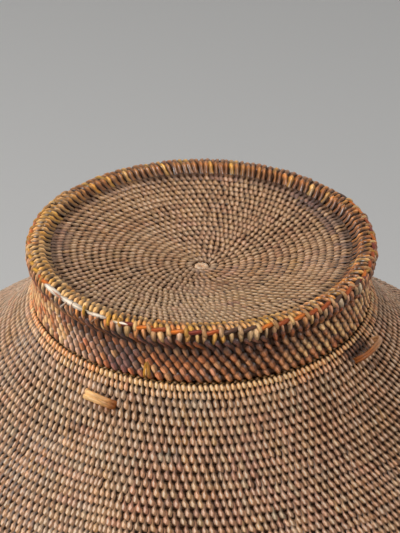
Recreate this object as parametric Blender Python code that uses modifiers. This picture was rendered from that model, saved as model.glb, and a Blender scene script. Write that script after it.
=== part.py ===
# Lidded basket of coiled cane: a round body with a dished cap lid that fits over a hidden neck.
# Metres, +Z up. The origin is on the floor under the middle of the foot, and the front is at -Y.
# Each shell has the true outer shape of its rows of coil, and the lid's top and the bottom also have
# a crest on each row and a groove between it and the next. The stitches themselves are left plain.

import math

import bpy
from mathutils import Matrix, Vector

# Coil
ROW_PITCH = 0.0042
ROW_GROOVE_DEPTH = 0.0008
WALL = 0.0046
GAP = 0.0003
TURN_STEPS = 44
CURVE_SPAN_STEPS = 8

# Body
SEAM_HEIGHT = 0.256
BELLY_HEIGHT = 0.116
BELLY_RADIUS = 0.192
BASE_RADIUS = 0.112
BASE_KICK = 0.0035
SHELF_ROUND = 0.0014
TOP_ROWS = 2
SHOULDER_ROWS = 22
BELLY_UPPER_ROWS = 18
BELLY_LOWER_ROWS = 14

# Share of the way from the last row of the belly to the foot that the lower wall takes before the heel
LOWER_WALL_SHARE = 0.54

# Outline of the shoulder: share of the way from the seam out to the belly, and up from the belly to the seam
SHOULDER_SHARES = (
    (0.0, 1.0),
    (0.117, 0.883),
    (0.253, 0.776),
    (0.405, 0.681),
    (0.57, 0.599),
    (0.70, 0.528),
    (0.81, 0.446),
    (0.90, 0.349),
    (0.963, 0.235),
    (0.994, 0.112),
)
# Outline under the belly: share of the way out from the base to the belly, and up from the base to the belly
LOWER_SHARES = (
    (1.0, 1.0),
    (0.975, 0.82),
    (0.906, 0.643),
    (0.788, 0.464),
    (0.625, 0.304),
    (0.425, 0.161),
    (0.225, 0.060),
    (0.08, 0.010),
    (0.0, 0.0),
)
# Outline of the bottom: share of the base's radius, and share of its rise to the middle
BOTTOM_SHARES = ((0.94, 0.0), (0.82, 0.14), (0.6, 0.5), (0.3, 0.88))

# Foot
FOOT_HEIGHT = 0.0042
FOOT_WIDTH = 0.0085
FOOT_ROUND = 0.0012

# Start knots of the two coils
KNOT_RADIUS = 0.0044
KNOT_HOLE_RADIUS = 0.0007
KNOT_CROWN = 0.0007

# Neck
COLLAR_WALL = 0.0042
COLLAR_HEIGHT = 0.0126
COLLAR_CLEARANCE = 0.0008
NECK_COIL_RADIUS = 0.0024

# Lid, with heights above the seam
LID_WALL_INNER_RADIUS = 0.086
LID_WALL_OUTER_RADIUS = 0.0908
LID_EDGE_OUTER_RADIUS = 0.092
LID_EDGE_HEIGHT = 0.0045
LID_EDGE_ROUND = 0.0014
LID_GROOVE_DEPTH = 0.0014
LID_GROOVE_HEIGHT = 0.0026
LID_DISC_THICKNESS = 0.0044
LID_DISH_DEPTH = 0.0136
LID_DISC_EDGE_RISE = 0.0024
LID_ROW_PITCH = 0.004
ROLL_RADIUS = 0.006
ROLL_CENTRE_RADIUS = 0.0882
ROLL_CENTRE_HEIGHT = 0.0273
ROLL_SIDES = 12
# Outline of the dish: share of the disc's radius, and share of the dish's depth
DISH_SHARES = ((1.0, 0.0), (0.9, 0.13), (0.75, 0.32), (0.5, 0.63), (0.25, 0.88))

# Strand laid along the roll
STRAND_WIDTH = 0.0034
STRAND_THICKNESS = 0.0011
STRAND_ANGLE = math.radians(48)
STRAND_SIDES = 8

# Tie sewn over the lid's lower rows
TIE_WIDTH = 0.0034
TIE_LENGTH = 0.0095
TIE_THICKNESS = 0.0012
TIE_FOOT_HEIGHT = 0.0016
TIE_ROUND = 0.0004
TIE_TURN = math.radians(-107.7)

# Strap loops: name, turn round the body, drop below the seam along the shoulder, length, height, lean
LOOP_WIDTH = 0.0052
LOOP_THICKNESS = 0.0014
LOOP_SQUARENESS = 0.75
LOOP_SIDES = 14
LOOP_FRONT_LEFT_DROP = 0.0155
LOOP_FRONT_RIGHT_DROP = 0.0105
LOOP_BACK_DROP = 0.013
LOOP_FRONT_LEFT_LENGTH = 0.0195
LOOP_LENGTH = 0.025
LOOP_FRONT_LEFT_RISE = 0.0056
LOOP_RISE = 0.0082
LOOPS = (
    ("loop_front_left", -121, LOOP_FRONT_LEFT_DROP, LOOP_FRONT_LEFT_LENGTH, LOOP_FRONT_LEFT_RISE, -9),
    ("loop_front_right", -28, LOOP_FRONT_RIGHT_DROP, LOOP_LENGTH, LOOP_RISE, 0),
    ("loop_back_right", 60, LOOP_BACK_DROP, LOOP_LENGTH, LOOP_RISE, 0),
    ("loop_back_left", 150, LOOP_BACK_DROP, LOOP_LENGTH, LOOP_RISE, 0),
)

# Colours
CANE = (0.36, 0.25, 0.17)
CANE_GREY = (0.30, 0.22, 0.17)
OCHRE = (0.50, 0.30, 0.11)
GOLD = (0.52, 0.32, 0.10)
BROWN = (0.21, 0.11, 0.06)
PALE = (0.62, 0.52, 0.42)
CANE_ROUGHNESS = 0.62
SPLINT_ROUGHNESS = 0.48


def clear_scene():
    """Removes every object of the open scene."""
    for old in list(bpy.data.objects):
        bpy.data.objects.remove(old, do_unlink=True)


def new_group(name):
    """Makes a collection in the scene."""
    group = bpy.data.collections.new(name)
    bpy.context.scene.collection.children.link(group)
    return group


def new_material(name, colour, roughness):
    """Makes a plain Principled material."""
    material = bpy.data.materials.new(name)
    material.use_nodes = True
    shader = material.node_tree.nodes["Principled BSDF"]
    shader.inputs["Base Color"].default_value = (*colour, 1)
    shader.inputs["Roughness"].default_value = roughness
    shader.inputs["Metallic"].default_value = 0
    return material


def turned(name, section, look, group, parent=None):
    """Turns a closed section, drawn as (radius, height) down its outer side and up its inner side."""
    count = len(section)
    mesh = bpy.data.meshes.new(name)
    points = [(radius, 0, height) for radius, height in section]
    edges = [(index, (index + 1) % count) for index in range(count)]
    mesh.from_pydata(points, edges, [])
    piece = bpy.data.objects.new(name, mesh)
    group.objects.link(piece)
    piece.parent = parent
    screw = piece.modifiers.new("turn", "SCREW")
    screw.axis = "Z"
    screw.angle = math.tau
    screw.steps = TURN_STEPS
    screw.render_steps = TURN_STEPS
    screw.use_smooth_shade = True
    mesh.materials.append(new_material(name, *look))
    return piece


def blend(before, start, end, after, share):
    """One value of a smooth curve through start and end, with their neighbours before and after."""
    square = share * share
    cube = square * share
    ahead = end - before
    behind = after - start
    rise = end - start
    bend = 6 * rise - 2 * ahead - behind
    twist = ahead + behind - 4 * rise
    return start + (ahead * share + bend * square + twist * cube) / 2


def smooth(corners):
    """Points of a smooth curve through the corners."""
    padded = [corners[0], *corners, corners[-1]]
    curve = []
    for index in range(1, len(corners)):
        four = padded[index - 1 : index + 3]
        for step in range(CURVE_SPAN_STEPS):
            share = step / CURVE_SPAN_STEPS
            curve.append(Vector([blend(*values, share) for values in zip(*four)]))
    curve.append(Vector(corners[-1]))
    return curve


def lengths_along(curve):
    """Distance of each point from the first, along the curve."""
    total = 0
    lengths = [total]
    for first, second in zip(curve, curve[1:]):
        total += (second - first).length
        lengths.append(total)
    return lengths


def place_on(curve, lengths, distance):
    """Point at a distance along the curve, with the curve's direction there."""
    index = 0
    while index < len(curve) - 2 and lengths[index + 1] < distance:
        index += 1
    direction = (curve[index + 1] - curve[index]).normalized()
    return curve[index] + direction * (distance - lengths[index]), direction


def outward(direction):
    """Normal of the outer side, for an outline that runs down the outside."""
    return Vector((-direction.y, direction.x))


def shell(curve, lengths, start, end, sides):
    """Section of wall between two distances along the outline, cut square to it at both ends."""
    outer = []
    inner = []
    for index in range(sides + 1):
        point, direction = place_on(curve, lengths, start + (end - start) * index / sides)
        outer.append(point)
        inner.append(point - outward(direction) * WALL)
    return [*outer, *reversed(inner)]


def coil_rows(curve, lengths, start, end, pitch):
    """Outer side of whole rows of coil: a crest on each row and a groove between it and the next."""
    spans = 2 * max(1, round((end - start) / pitch))
    rows = []
    for index in range(spans + 1):
        point, direction = place_on(curve, lengths, start + (end - start) * index / spans)
        if index % 2 == 0 and 0 < index < spans:
            point = point - outward(direction) * ROW_GROOVE_DEPTH
        rows.append(point)
    return rows


def oval(radius, height, half_width, half_height, sides, lean=0):
    """Section of a coil: an ellipse round (radius, height), leaning by an angle."""
    points = []
    for index in range(sides):
        angle = math.tau * (sides - index) / sides
        across = half_width * math.cos(angle)
        along = half_height * math.sin(angle)
        points.append(
            (
                radius + across * math.cos(lean) - along * math.sin(lean),
                height + across * math.sin(lean) + along * math.cos(lean),
            )
        )
    return points


def knot_section(top_height, bottom_height):
    """Section of the first ring of a coil, crowned above and below, with its small hole."""
    middle = (KNOT_RADIUS + KNOT_HOLE_RADIUS) / 2
    rim = KNOT_RADIUS - GAP
    return [
        (middle, top_height + KNOT_CROWN),
        (rim, top_height),
        (rim, bottom_height),
        (middle, bottom_height - KNOT_CROWN),
        (KNOT_HOLE_RADIUS, bottom_height),
        (KNOT_HOLE_RADIUS, top_height),
    ]


def body_outline():
    """Outer outline of the body from the seam, over the belly, to the middle of the bottom."""
    seam_radius = LID_EDGE_OUTER_RADIUS
    base_height = FOOT_HEIGHT + GAP
    corners = [
        (
            seam_radius + (BELLY_RADIUS - seam_radius) * out_share,
            BELLY_HEIGHT + (SEAM_HEIGHT - BELLY_HEIGHT) * up_share,
        )
        for out_share, up_share in SHOULDER_SHARES
    ]
    corners += [
        (
            BASE_RADIUS + (BELLY_RADIUS - BASE_RADIUS) * out_share,
            base_height + (BELLY_HEIGHT - base_height) * up_share,
        )
        for out_share, up_share in LOWER_SHARES
    ]
    corners += [
        (BASE_RADIUS * out_share, base_height + BASE_KICK * up_share)
        for out_share, up_share in BOTTOM_SHARES
    ]
    corners.append((KNOT_RADIUS, base_height + BASE_KICK))
    return smooth(corners)


def base_distance(curve, lengths):
    """Distance along the outline to its lowest point, over the foot."""
    lowest = min(range(len(curve)), key=lambda index: curve[index].y)
    return lengths[lowest]


def build_body(group):
    """Builds the body's shells, foot, bottom and neck."""
    curve = body_outline()
    lengths = lengths_along(curve)
    top_end = TOP_ROWS * ROW_PITCH
    shoulder_end = top_end + SHOULDER_ROWS * ROW_PITCH
    upper_end = shoulder_end + BELLY_UPPER_ROWS * ROW_PITCH
    belly_end = upper_end + BELLY_LOWER_ROWS * ROW_PITCH
    heel_end = base_distance(curve, lengths)
    lower_end = belly_end + (heel_end - belly_end) * LOWER_WALL_SHARE
    cane = (CANE, CANE_ROUGHNESS)

    collar_outer = LID_WALL_INNER_RADIUS - COLLAR_CLEARANCE
    collar_inner = collar_outer - COLLAR_WALL
    shelf_inner = collar_outer + GAP
    top = shell(curve, lengths, SHELF_ROUND, top_end, 3)
    outer = top[: len(top) // 2]
    inner = top[len(top) // 2]
    shelf = [
        (shelf_inner, SEAM_HEIGHT),
        (LID_EDGE_OUTER_RADIUS - SHELF_ROUND, SEAM_HEIGHT),
        *outer,
        inner,
        (shelf_inner, SEAM_HEIGHT - WALL),
    ]
    turned("shoulder_top_coil", shelf, (OCHRE, SPLINT_ROUGHNESS), group)
    turned("shoulder_wall", shell(curve, lengths, top_end + GAP, shoulder_end, 7), cane, group)
    turned("belly_upper_wall", shell(curve, lengths, shoulder_end + GAP, upper_end, 5), cane, group)
    turned("belly_lower_wall", shell(curve, lengths, upper_end + GAP, belly_end, 4), cane, group)
    turned("lower_wall", shell(curve, lengths, belly_end + GAP, lower_end, 4), cane, group)
    turned("heel_wall", shell(curve, lengths, lower_end + GAP, heel_end, 4), cane, group)
    base = shell(curve, lengths, heel_end + GAP, lengths[-1], 4)
    rows = coil_rows(curve, lengths, heel_end + GAP, lengths[-1], ROW_PITCH)
    turned("base_disc", [*rows, *base[len(base) // 2 :]], cane, group)

    base_top = FOOT_HEIGHT + GAP + BASE_KICK + WALL
    knot = knot_section(base_top, base_top - WALL)
    turned("base_start_knot", knot, cane, group)

    foot_outer = BASE_RADIUS + FOOT_WIDTH / 2
    foot_inner = BASE_RADIUS - FOOT_WIDTH / 2
    foot = [
        (foot_outer - FOOT_ROUND, FOOT_HEIGHT),
        (foot_outer, FOOT_HEIGHT - FOOT_ROUND),
        (foot_outer, FOOT_ROUND),
        (foot_outer - FOOT_ROUND, 0),
        (foot_inner + FOOT_ROUND, 0),
        (foot_inner, FOOT_ROUND),
        (foot_inner, FOOT_HEIGHT - FOOT_ROUND),
        (foot_inner + FOOT_ROUND, FOOT_HEIGHT),
    ]
    turned("foot_ring", foot, (CANE_GREY, CANE_ROUGHNESS), group)

    collar_top = SEAM_HEIGHT + COLLAR_HEIGHT
    collar = [
        (collar_outer, collar_top),
        (collar_outer, SEAM_HEIGHT - WALL),
        (collar_inner, SEAM_HEIGHT - WALL),
        (collar_inner, collar_top),
    ]
    turned("neck_collar", collar, (CANE_GREY, CANE_ROUGHNESS), group)
    coil = oval(
        (collar_outer + collar_inner) / 2,
        collar_top + GAP + NECK_COIL_RADIUS,
        COLLAR_WALL / 2,
        NECK_COIL_RADIUS,
        8,
    )
    turned("neck_rim_coil", coil, (OCHRE, SPLINT_ROUGHNESS), group)
    return curve, lengths


def build_lid(group):
    """Builds the cap lid on an empty at the seam, on the axis along which it lifts."""
    lid = bpy.data.objects.new("lid_frame", None)
    lid.location = (0, 0, SEAM_HEIGHT)
    group.objects.link(lid)

    disc_radius = ROLL_CENTRE_RADIUS - ROLL_RADIUS - GAP
    rim_height = ROLL_CENTRE_HEIGHT + LID_DISC_EDGE_RISE
    dish = [
        (disc_radius * out_share, rim_height - LID_DISH_DEPTH * down_share)
        for out_share, down_share in DISH_SHARES
    ]
    dish.append((KNOT_RADIUS, rim_height - LID_DISH_DEPTH))
    under = [(radius, height - LID_DISC_THICKNESS) for radius, height in dish]
    crown = smooth(dish[::-1])
    crown_lengths = lengths_along(crown)
    rows = coil_rows(crown, crown_lengths, 0, crown_lengths[-1], LID_ROW_PITCH)
    turned("lid_top", [*rows, *under], (CANE, CANE_ROUGHNESS), group, lid)

    knot_top = rim_height - LID_DISH_DEPTH
    knot = knot_section(knot_top, knot_top - LID_DISC_THICKNESS)
    turned("lid_start_knot", knot, (CANE, CANE_ROUGHNESS), group, lid)

    roll = oval(ROLL_CENTRE_RADIUS, ROLL_CENTRE_HEIGHT, ROLL_RADIUS, ROLL_RADIUS, ROLL_SIDES)
    turned("lid_rim_roll", roll, (GOLD, SPLINT_ROUGHNESS), group, lid)

    reach = ROLL_RADIUS + GAP + STRAND_THICKNESS / 2
    strand = oval(
        ROLL_CENTRE_RADIUS + reach * math.cos(STRAND_ANGLE),
        ROLL_CENTRE_HEIGHT + reach * math.sin(STRAND_ANGLE),
        STRAND_THICKNESS / 2,
        STRAND_WIDTH / 2,
        STRAND_SIDES,
        STRAND_ANGLE,
    )
    turned("lid_rim_strand", strand, (PALE, SPLINT_ROUGHNESS), group, lid)

    wall_top = ROLL_CENTRE_HEIGHT - ROLL_RADIUS - GAP
    wall_foot = GAP + LID_EDGE_HEIGHT + GAP
    groove_radius = LID_WALL_OUTER_RADIUS - LID_GROOVE_DEPTH
    wall = [
        (groove_radius, wall_top),
        (groove_radius, wall_top - LID_GROOVE_HEIGHT),
        (LID_WALL_OUTER_RADIUS, wall_top - LID_GROOVE_HEIGHT - LID_GROOVE_DEPTH),
        (LID_WALL_OUTER_RADIUS, wall_foot),
        (LID_WALL_INNER_RADIUS, wall_foot),
        (LID_WALL_INNER_RADIUS, wall_top),
    ]
    turned("lid_wall", wall, (BROWN, CANE_ROUGHNESS), group, lid)

    edge_top = GAP + LID_EDGE_HEIGHT
    edge = [
        (LID_EDGE_OUTER_RADIUS - LID_EDGE_ROUND, edge_top),
        (LID_EDGE_OUTER_RADIUS, edge_top - LID_EDGE_ROUND),
        (LID_EDGE_OUTER_RADIUS, GAP + LID_EDGE_ROUND),
        (LID_EDGE_OUTER_RADIUS - LID_EDGE_ROUND, GAP),
        (LID_WALL_INNER_RADIUS, GAP),
        (LID_WALL_INNER_RADIUS, edge_top),
    ]
    turned("lid_edge_coil", edge, (BROWN, CANE_ROUGHNESS), group, lid)

    add_tie(group, lid)


def add_tie(group, lid):
    """Adds the splint that is sewn over the lid's lower rows, lying against the edge coil."""
    bpy.ops.mesh.primitive_cube_add(size=1)
    tie = bpy.context.object
    tie.name = "lid_wall_tie"
    tie.data.name = "lid_wall_tie"
    for old in list(tie.users_collection):
        old.objects.unlink(tie)
    group.objects.link(tie)
    tie.data.transform(Matrix.Diagonal((TIE_THICKNESS, TIE_WIDTH, TIE_LENGTH, 1)))
    rounding = tie.modifiers.new("rounding", "BEVEL")
    rounding.width = TIE_ROUND
    rounding.segments = 2
    rounding.limit_method = "ANGLE"
    tie.data.shade_smooth()
    lean = math.atan2(LID_EDGE_OUTER_RADIUS - LID_WALL_OUTER_RADIUS, TIE_LENGTH)
    reach = (
        LID_EDGE_OUTER_RADIUS
        + GAP
        + TIE_THICKNESS / 2
        - (TIE_LENGTH / 2 - LID_EDGE_HEIGHT + TIE_FOOT_HEIGHT + LID_EDGE_ROUND) * math.tan(lean)
    )
    height = TIE_FOOT_HEIGHT + TIE_LENGTH / 2
    tie.matrix_basis = (
        Matrix.Rotation(TIE_TURN, 4, "Z")
        @ Matrix.Translation((reach, 0, height))
        @ Matrix.Rotation(-lean, 4, "Y")
    )
    tie.parent = lid
    tie.data.materials.append(new_material("lid_wall_tie", OCHRE, SPLINT_ROUGHNESS))


def loop_outline(length, rise, drop_at_feet):
    """Outline of a strap loop seen from its side: an arch of even thickness on the curved shoulder."""
    outer = []
    inner = []
    for index in range(LOOP_SIDES + 1):
        angle = math.pi * index / LOOP_SIDES
        across = math.copysign(abs(math.cos(angle)) ** LOOP_SQUARENESS, math.cos(angle))
        up = max(math.sin(angle), 0) ** LOOP_SQUARENESS
        half = length / 2
        foot = GAP - drop_at_feet
        outer.append((half * across, foot + (rise - foot) * up))
        inner.append(
            ((half - LOOP_THICKNESS) * across, foot + (rise - LOOP_THICKNESS - foot) * up)
        )
    return [*outer, *reversed(inner)]


def add_loop(group, curve, lengths, name, turn, drop, length, rise, lean):
    """Adds one strap loop, standing square to the shoulder."""
    point, direction = place_on(curve, lengths, drop)
    normal = outward(direction)
    sag = normal.x * (length / 2) ** 2 / (2 * point.x)
    shape = bpy.data.curves.new(name, "CURVE")
    shape.dimensions = "2D"
    shape.fill_mode = "BOTH"
    shape.extrude = LOOP_WIDTH / 2
    outline = loop_outline(length, rise, sag)
    spline = shape.splines.new("POLY")
    spline.points.add(len(outline) - 1)
    for place, (across, up) in zip(spline.points, outline):
        place.co = (across, up, 0, 1)
    spline.use_cyclic_u = True
    shape.materials.append(new_material(name, GOLD, SPLINT_ROUGHNESS))
    loop = bpy.data.objects.new(name, shape)
    group.objects.link(loop)
    frame = Matrix(
        (
            (0, normal.x, normal.y, point.x),
            (1, 0, 0, 0),
            (0, normal.y, -normal.x, point.y),
            (0, 0, 0, 1),
        )
    )
    loop.matrix_basis = (
        Matrix.Rotation(math.radians(turn), 4, "Z")
        @ frame
        @ Matrix.Rotation(math.radians(lean), 4, "Y")
    )


def main():
    """Builds the basket and its lid."""
    clear_scene()
    group = new_group("lidded_basket")
    curve, lengths = build_body(group)
    build_lid(group)
    for loop in LOOPS:
        add_loop(group, curve, lengths, *loop)


main()
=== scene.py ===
"""Looks of a lidded basket of coiled cane: its sewn rows, its wrapped rim and its strap loops.

Metres, +Z up, the front at -Y. Angles round the basket are counted from +X, counterclockwise from
above. A row of coil is a round bundle, and a stitch is a flat splint of cane sewn over it.
"""

import functools
import logging
import math
from collections.abc import Callable, Sequence
from dataclasses import KW_ONLY, dataclass, field
from enum import Enum

import bmesh
import bpy
import numpy as np
from mathutils import Matrix, Vector


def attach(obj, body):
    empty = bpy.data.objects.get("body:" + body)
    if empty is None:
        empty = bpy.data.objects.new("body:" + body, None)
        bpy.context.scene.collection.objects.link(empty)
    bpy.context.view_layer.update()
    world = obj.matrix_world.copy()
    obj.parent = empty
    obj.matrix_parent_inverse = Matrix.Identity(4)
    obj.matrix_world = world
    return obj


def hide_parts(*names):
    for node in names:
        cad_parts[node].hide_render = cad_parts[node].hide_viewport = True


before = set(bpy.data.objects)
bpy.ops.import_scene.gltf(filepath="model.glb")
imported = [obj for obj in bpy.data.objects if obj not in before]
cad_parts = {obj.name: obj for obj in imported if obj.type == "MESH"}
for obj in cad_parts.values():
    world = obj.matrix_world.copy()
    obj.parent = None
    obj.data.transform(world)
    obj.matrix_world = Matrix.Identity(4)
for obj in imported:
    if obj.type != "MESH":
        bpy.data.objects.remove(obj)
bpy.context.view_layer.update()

MM = 0.001

log = logging.getLogger("basket")


def linear(colour: Sequence[float]) -> np.ndarray:
    """Turns a colour from 0-255 display values into scene values.

    Args:
        colour: Red, green and blue, from 0 to 255.

    Returns:
        The three values as light, from 0 to 1.
    """
    share = np.asarray(colour, float) / 255
    return np.where(share <= 0.04045, share / 12.92, ((share + 0.055) / 1.055) ** 2.4)


class Dye(Enum):
    """Colours that the splints of cane have taken, in display values."""

    BEIGE = (202, 159, 114)
    TAN = (188, 141, 92)
    GREY = (178, 150, 124)
    ROSE = (196, 134, 100)
    RED = (126, 46, 24)
    OCHRE = (188, 134, 58)
    GOLD = (210, 152, 54)
    ORANGE = (206, 112, 36)
    BROWN = (146, 86, 40)
    RUST = (170, 80, 28)
    DARK = (84, 54, 36)
    PURPLE = (86, 66, 70)
    PALE = (238, 222, 200)
    STRAW = (230, 184, 122)
    BONE = (200, 182, 150)
    SAGE = (160, 150, 122)

    @property
    def light(self) -> np.ndarray:
        """The colour as scene values."""
        return linear(self.value)


# Outlines


@dataclass(frozen=True)
class Outline:
    """Smooth outer line of a turned form, as (radius, height) corners in metres.

    It runs so that the outer side is on its left: down an outside wall, or outwards over a top.
    """

    corners: tuple[tuple[float, float], ...]
    steps: int = 24

    @functools.cached_property
    def table(self) -> np.ndarray:
        """The line as a table.

        Returns:
            Columns of distance, radius, height and the outward normal's two parts.
        """
        corners = np.array(self.corners, float)
        padded = np.vstack([corners[:1], corners, corners[-1:]])
        share = np.linspace(0, 1, self.steps, endpoint=False)[:, None]
        parts = []
        for before, start, end, after in zip(padded, padded[1:], padded[2:], padded[3:]):
            ahead = end - before
            behind = after - start
            rise = end - start
            bend = 6 * rise - 2 * ahead - behind
            twist = ahead + behind - 4 * rise
            parts.append(start + (ahead * share + bend * share**2 + twist * share**3) / 2)
        points = np.vstack([*parts, corners[-1:]])
        lengths = np.r_[0, np.cumsum(np.hypot(*np.diff(points, axis=0).T))]
        slope = np.gradient(points, lengths, axis=0)
        slope /= np.linalg.norm(slope, axis=1)[:, None]
        return np.column_stack([lengths, points, -slope[:, 1], slope[:, 0]])

    @property
    def length(self) -> float:
        """Whole length of the line."""
        return float(self.table[-1, 0])

    def at(self, along: np.ndarray) -> tuple[np.ndarray, ...]:
        """Gives radius, height and outward normal at distances along the line.

        Args:
            along: Distances in metres, of any shape.

        Returns:
            Radius, height, and the normal's parts outwards and up, each shaped as along. The line
            ends at its ends, so what reaches beyond them is cut off there.
        """
        table = self.table
        return tuple(np.interp(along, table[:, 0], table[:, k]) for k in range(1, 5))

    def lowest(self) -> float:
        """Distance along the line to its lowest point."""
        return float(self.table[self.table[:, 2].argmin(), 0])


def arc(
    radius: float, height: float, size: tuple[float, float], start: float, end: float,
    step: float = 20.0,
) -> list[tuple[float, float]]:
    """Gives points of an oval round a coil's middle.

    Args:
        radius: Distance of the middle from the axis.
        height: Height of the middle.
        size: Half width and half height of the oval.
        start: First angle in degrees, from straight out towards up.
        end: Last angle in degrees.
        step: About how many degrees lie from point to point.

    Returns:
        The points as (radius, height) pairs.
    """
    turns = np.radians(np.linspace(start, end, max(3, round(abs(end - start) / step) + 1)))
    return [(radius + size[0] * math.cos(a), height + size[1] * math.sin(a)) for a in turns]


def turned(reach: np.ndarray, angle: np.ndarray, height: np.ndarray) -> np.ndarray:
    """Gives points by their distance from the axis, their angle round it and their height."""
    return np.stack([reach * np.cos(angle), reach * np.sin(angle), height], -1)


# Modelling


@dataclass(frozen=True)
class Shape:
    """A modelled shape as arrays, ready to be copied.

    It holds its points, the points at its faces' corners, where each face's corners start, how high
    each point lies as a share, and how far across and along it lies.
    """

    points: np.ndarray
    corners: np.ndarray
    starts: np.ndarray
    crown: np.ndarray
    lie: np.ndarray


class Bench:
    """Models one shape in Edit Mode, one step at a time."""

    merged: float = 0.1 * MM

    def __init__(self) -> None:
        """Clears the selection before a new shape is added."""
        bpy.ops.object.select_all(action="DESELECT")

    def grid(self, across: int, along: int) -> "Bench":
        """Adds a flat square net of faces, one metre wide."""
        bpy.ops.mesh.primitive_grid_add(x_subdivisions=across, y_subdivisions=along, size=1)
        return self.open()

    def circle(self, sides: int, radius: float, place: tuple[float, float, float]) -> "Bench":
        """Adds a round section that stands upright.

        Args:
            sides: Its corners.
            radius: Its radius.
            place: Its middle.

        Returns:
            The bench itself.
        """
        bpy.ops.mesh.primitive_circle_add(
            vertices=sides, radius=radius, location=place, rotation=(math.pi / 2, 0, 0)
        )
        bpy.ops.object.transform_apply(location=True, rotation=True, scale=True)
        return self.open()

    def open(self) -> "Bench":
        """Opens the new primitive in Edit Mode.

        Returns:
            The bench itself.
        """
        self.piece = bpy.context.object
        bpy.ops.object.mode_set(mode="EDIT")
        return self

    def pick(self, wanted: Callable[[Vector], bool]) -> "Bench":
        """Selects vertices by their place.

        Args:
            wanted: Test of a vertex's place.

        Returns:
            The bench itself.
        """
        net = bmesh.from_edit_mesh(self.piece.data)
        for vertex in net.verts:
            vertex.select = bool(wanted(vertex.co))
        net.select_flush_mode()
        bmesh.update_edit_mesh(self.piece.data)
        return self

    def move(self, x: float, y: float, z: float) -> "Bench":
        """Moves the selection."""
        bpy.ops.transform.translate(value=(x, y, z))
        return self

    def scale(self, x: float, y: float, z: float, centre: tuple[float, float, float]) -> "Bench":
        """Resizes the selection about a point."""
        bpy.ops.transform.resize(value=(x, y, z), center_override=centre)
        return self

    def extrude(self, x: float, y: float, z: float) -> "Bench":
        """Extrudes the selection by a step."""
        bpy.ops.mesh.extrude_region_move(TRANSFORM_OT_translate={"value": (x, y, z)})
        return self

    def close(self) -> "Bench":
        """Fills the open ends and turns the faces outwards.

        Returns:
            The bench itself.
        """
        bpy.ops.mesh.select_all(action="SELECT")
        bpy.ops.mesh.remove_doubles(threshold=self.merged)
        bpy.ops.mesh.select_all(action="DESELECT")
        bpy.ops.mesh.select_non_manifold()
        if any(vertex.select for vertex in bmesh.from_edit_mesh(self.piece.data).verts):
            bpy.ops.mesh.fill()
        bpy.ops.mesh.select_all(action="SELECT")
        bpy.ops.mesh.normals_make_consistent(inside=False)
        return self

    def spin(self, steps: int) -> "Bench":
        """Spins the section once round the upright axis and closes the seam.

        Args:
            steps: How many sections the round has.

        Returns:
            The bench itself.
        """
        bpy.ops.mesh.select_all(action="SELECT")
        bpy.ops.mesh.spin(steps=steps, angle=math.tau, center=(0, 0, 0), axis=(0, 0, 1))
        return self.close()

    def take(self) -> Shape:
        """Leaves Edit Mode and hands the shape over as arrays.

        Returns:
            The shape. Its crown is 1 on the highest points and 0 on the lowest.
        """
        bpy.ops.object.mode_set(mode="OBJECT")
        mesh = self.piece.data
        points = np.empty(len(mesh.vertices) * 3)
        mesh.vertices.foreach_get("co", points)
        points = points.reshape(-1, 3)
        corners = np.empty(len(mesh.loops), int)
        mesh.loops.foreach_get("vertex_index", corners)
        starts = np.empty(len(mesh.polygons), int)
        mesh.polygons.foreach_get("loop_start", starts)
        low, high = points.min(0), points.max(0)
        share = (points - low) / np.maximum(high - low, 1e-9)
        bpy.data.objects.remove(self.piece, do_unlink=True)
        bpy.data.meshes.remove(mesh)
        return Shape(points, corners, starts, share[:, 2], share[:, :2])


@dataclass(frozen=True)
class SplintShape:
    """A splint of cane as it lies in a stitch, one metre long and wide until it is laid.

    Each station is one line across it: its place along, its width as a share, and the heights of
    its crown and its edges in mm.
    """

    stations: tuple[tuple[float, float, float, float], ...]
    cells: int = 4
    bow: float = 1.6
    crest: float = 0.0
    aside: float = 2.0
    near: float = 0.1 * MM

    def model(self) -> Shape:
        """Models the splint from a flat net, whose lines are shaped and put aside one by one.

        Returns:
            The shape, with its tip towards -Y, its outer side towards +Z and its heights in metres.
        """
        rows = len(self.stations) - 1
        bench = Bench().grid(self.cells, rows)
        for index, (along, width, crown, edge) in enumerate(self.stations):
            line = 0.5 - index / rows
            place = self.aside + along
            bench.pick(lambda co: abs(co.y - line) < 0.25 / rows)
            bench.scale(width, 1, 1, (0, line, 0))
            bench.move(0, place - line, edge * MM)
            for column in range(1, self.cells):
                across = column / self.cells - 0.5
                reach = 0.5 - self.crest if across > self.crest else 0.5 + self.crest
                rise = (1 - abs((across - self.crest) / reach) ** self.bow) * (crown - edge) * MM
                side = across * width
                bench.pick(
                    lambda co: abs(co.y - place) < self.near and abs(co.x - side) < self.near
                ).move(0, 0, rise)
        bpy.ops.mesh.select_all(action="SELECT")
        bench.move(0, -self.aside, 0)
        return bench.take()


GRAIN = SplintShape(
    (
        (0.50, 0.40, -1.00, -1.45), (0.36, 0.96, -0.34, -0.66), (0.08, 0.62, -0.10, -0.95),
        (-0.18, 1.10, 0.32, -0.34), (-0.41, 1.00, 0.24, -0.44), (-0.50, 0.44, -0.60, -1.25),
    ),
    cells=3, bow=1.15, crest=-1 / 6,
)
FLAT_GRAIN = SplintShape(
    (
        (0.50, 0.36, -0.95, -1.30), (0.37, 1.04, -0.16, -0.40), (0.07, 0.58, 0.04, -0.60),
        (-0.20, 1.12, 0.40, -0.22), (-0.40, 1.00, 0.32, -0.32), (-0.50, 0.36, -0.55, -1.15),
    ),
    bow=1.3, crest=0.18,
)
BEAD = SplintShape(
    (
        (0.50, 0.45, -1.10, -1.60), (0.38, 0.98, -0.10, -0.90), (0.10, 0.76, 0.12, -0.95),
        (-0.18, 1.06, 0.66, -0.70), (-0.40, 0.94, 0.45, -0.90), (-0.50, 0.45, -0.60, -1.40),
    ),
    bow=1.7, crest=-0.12,
)
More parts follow.
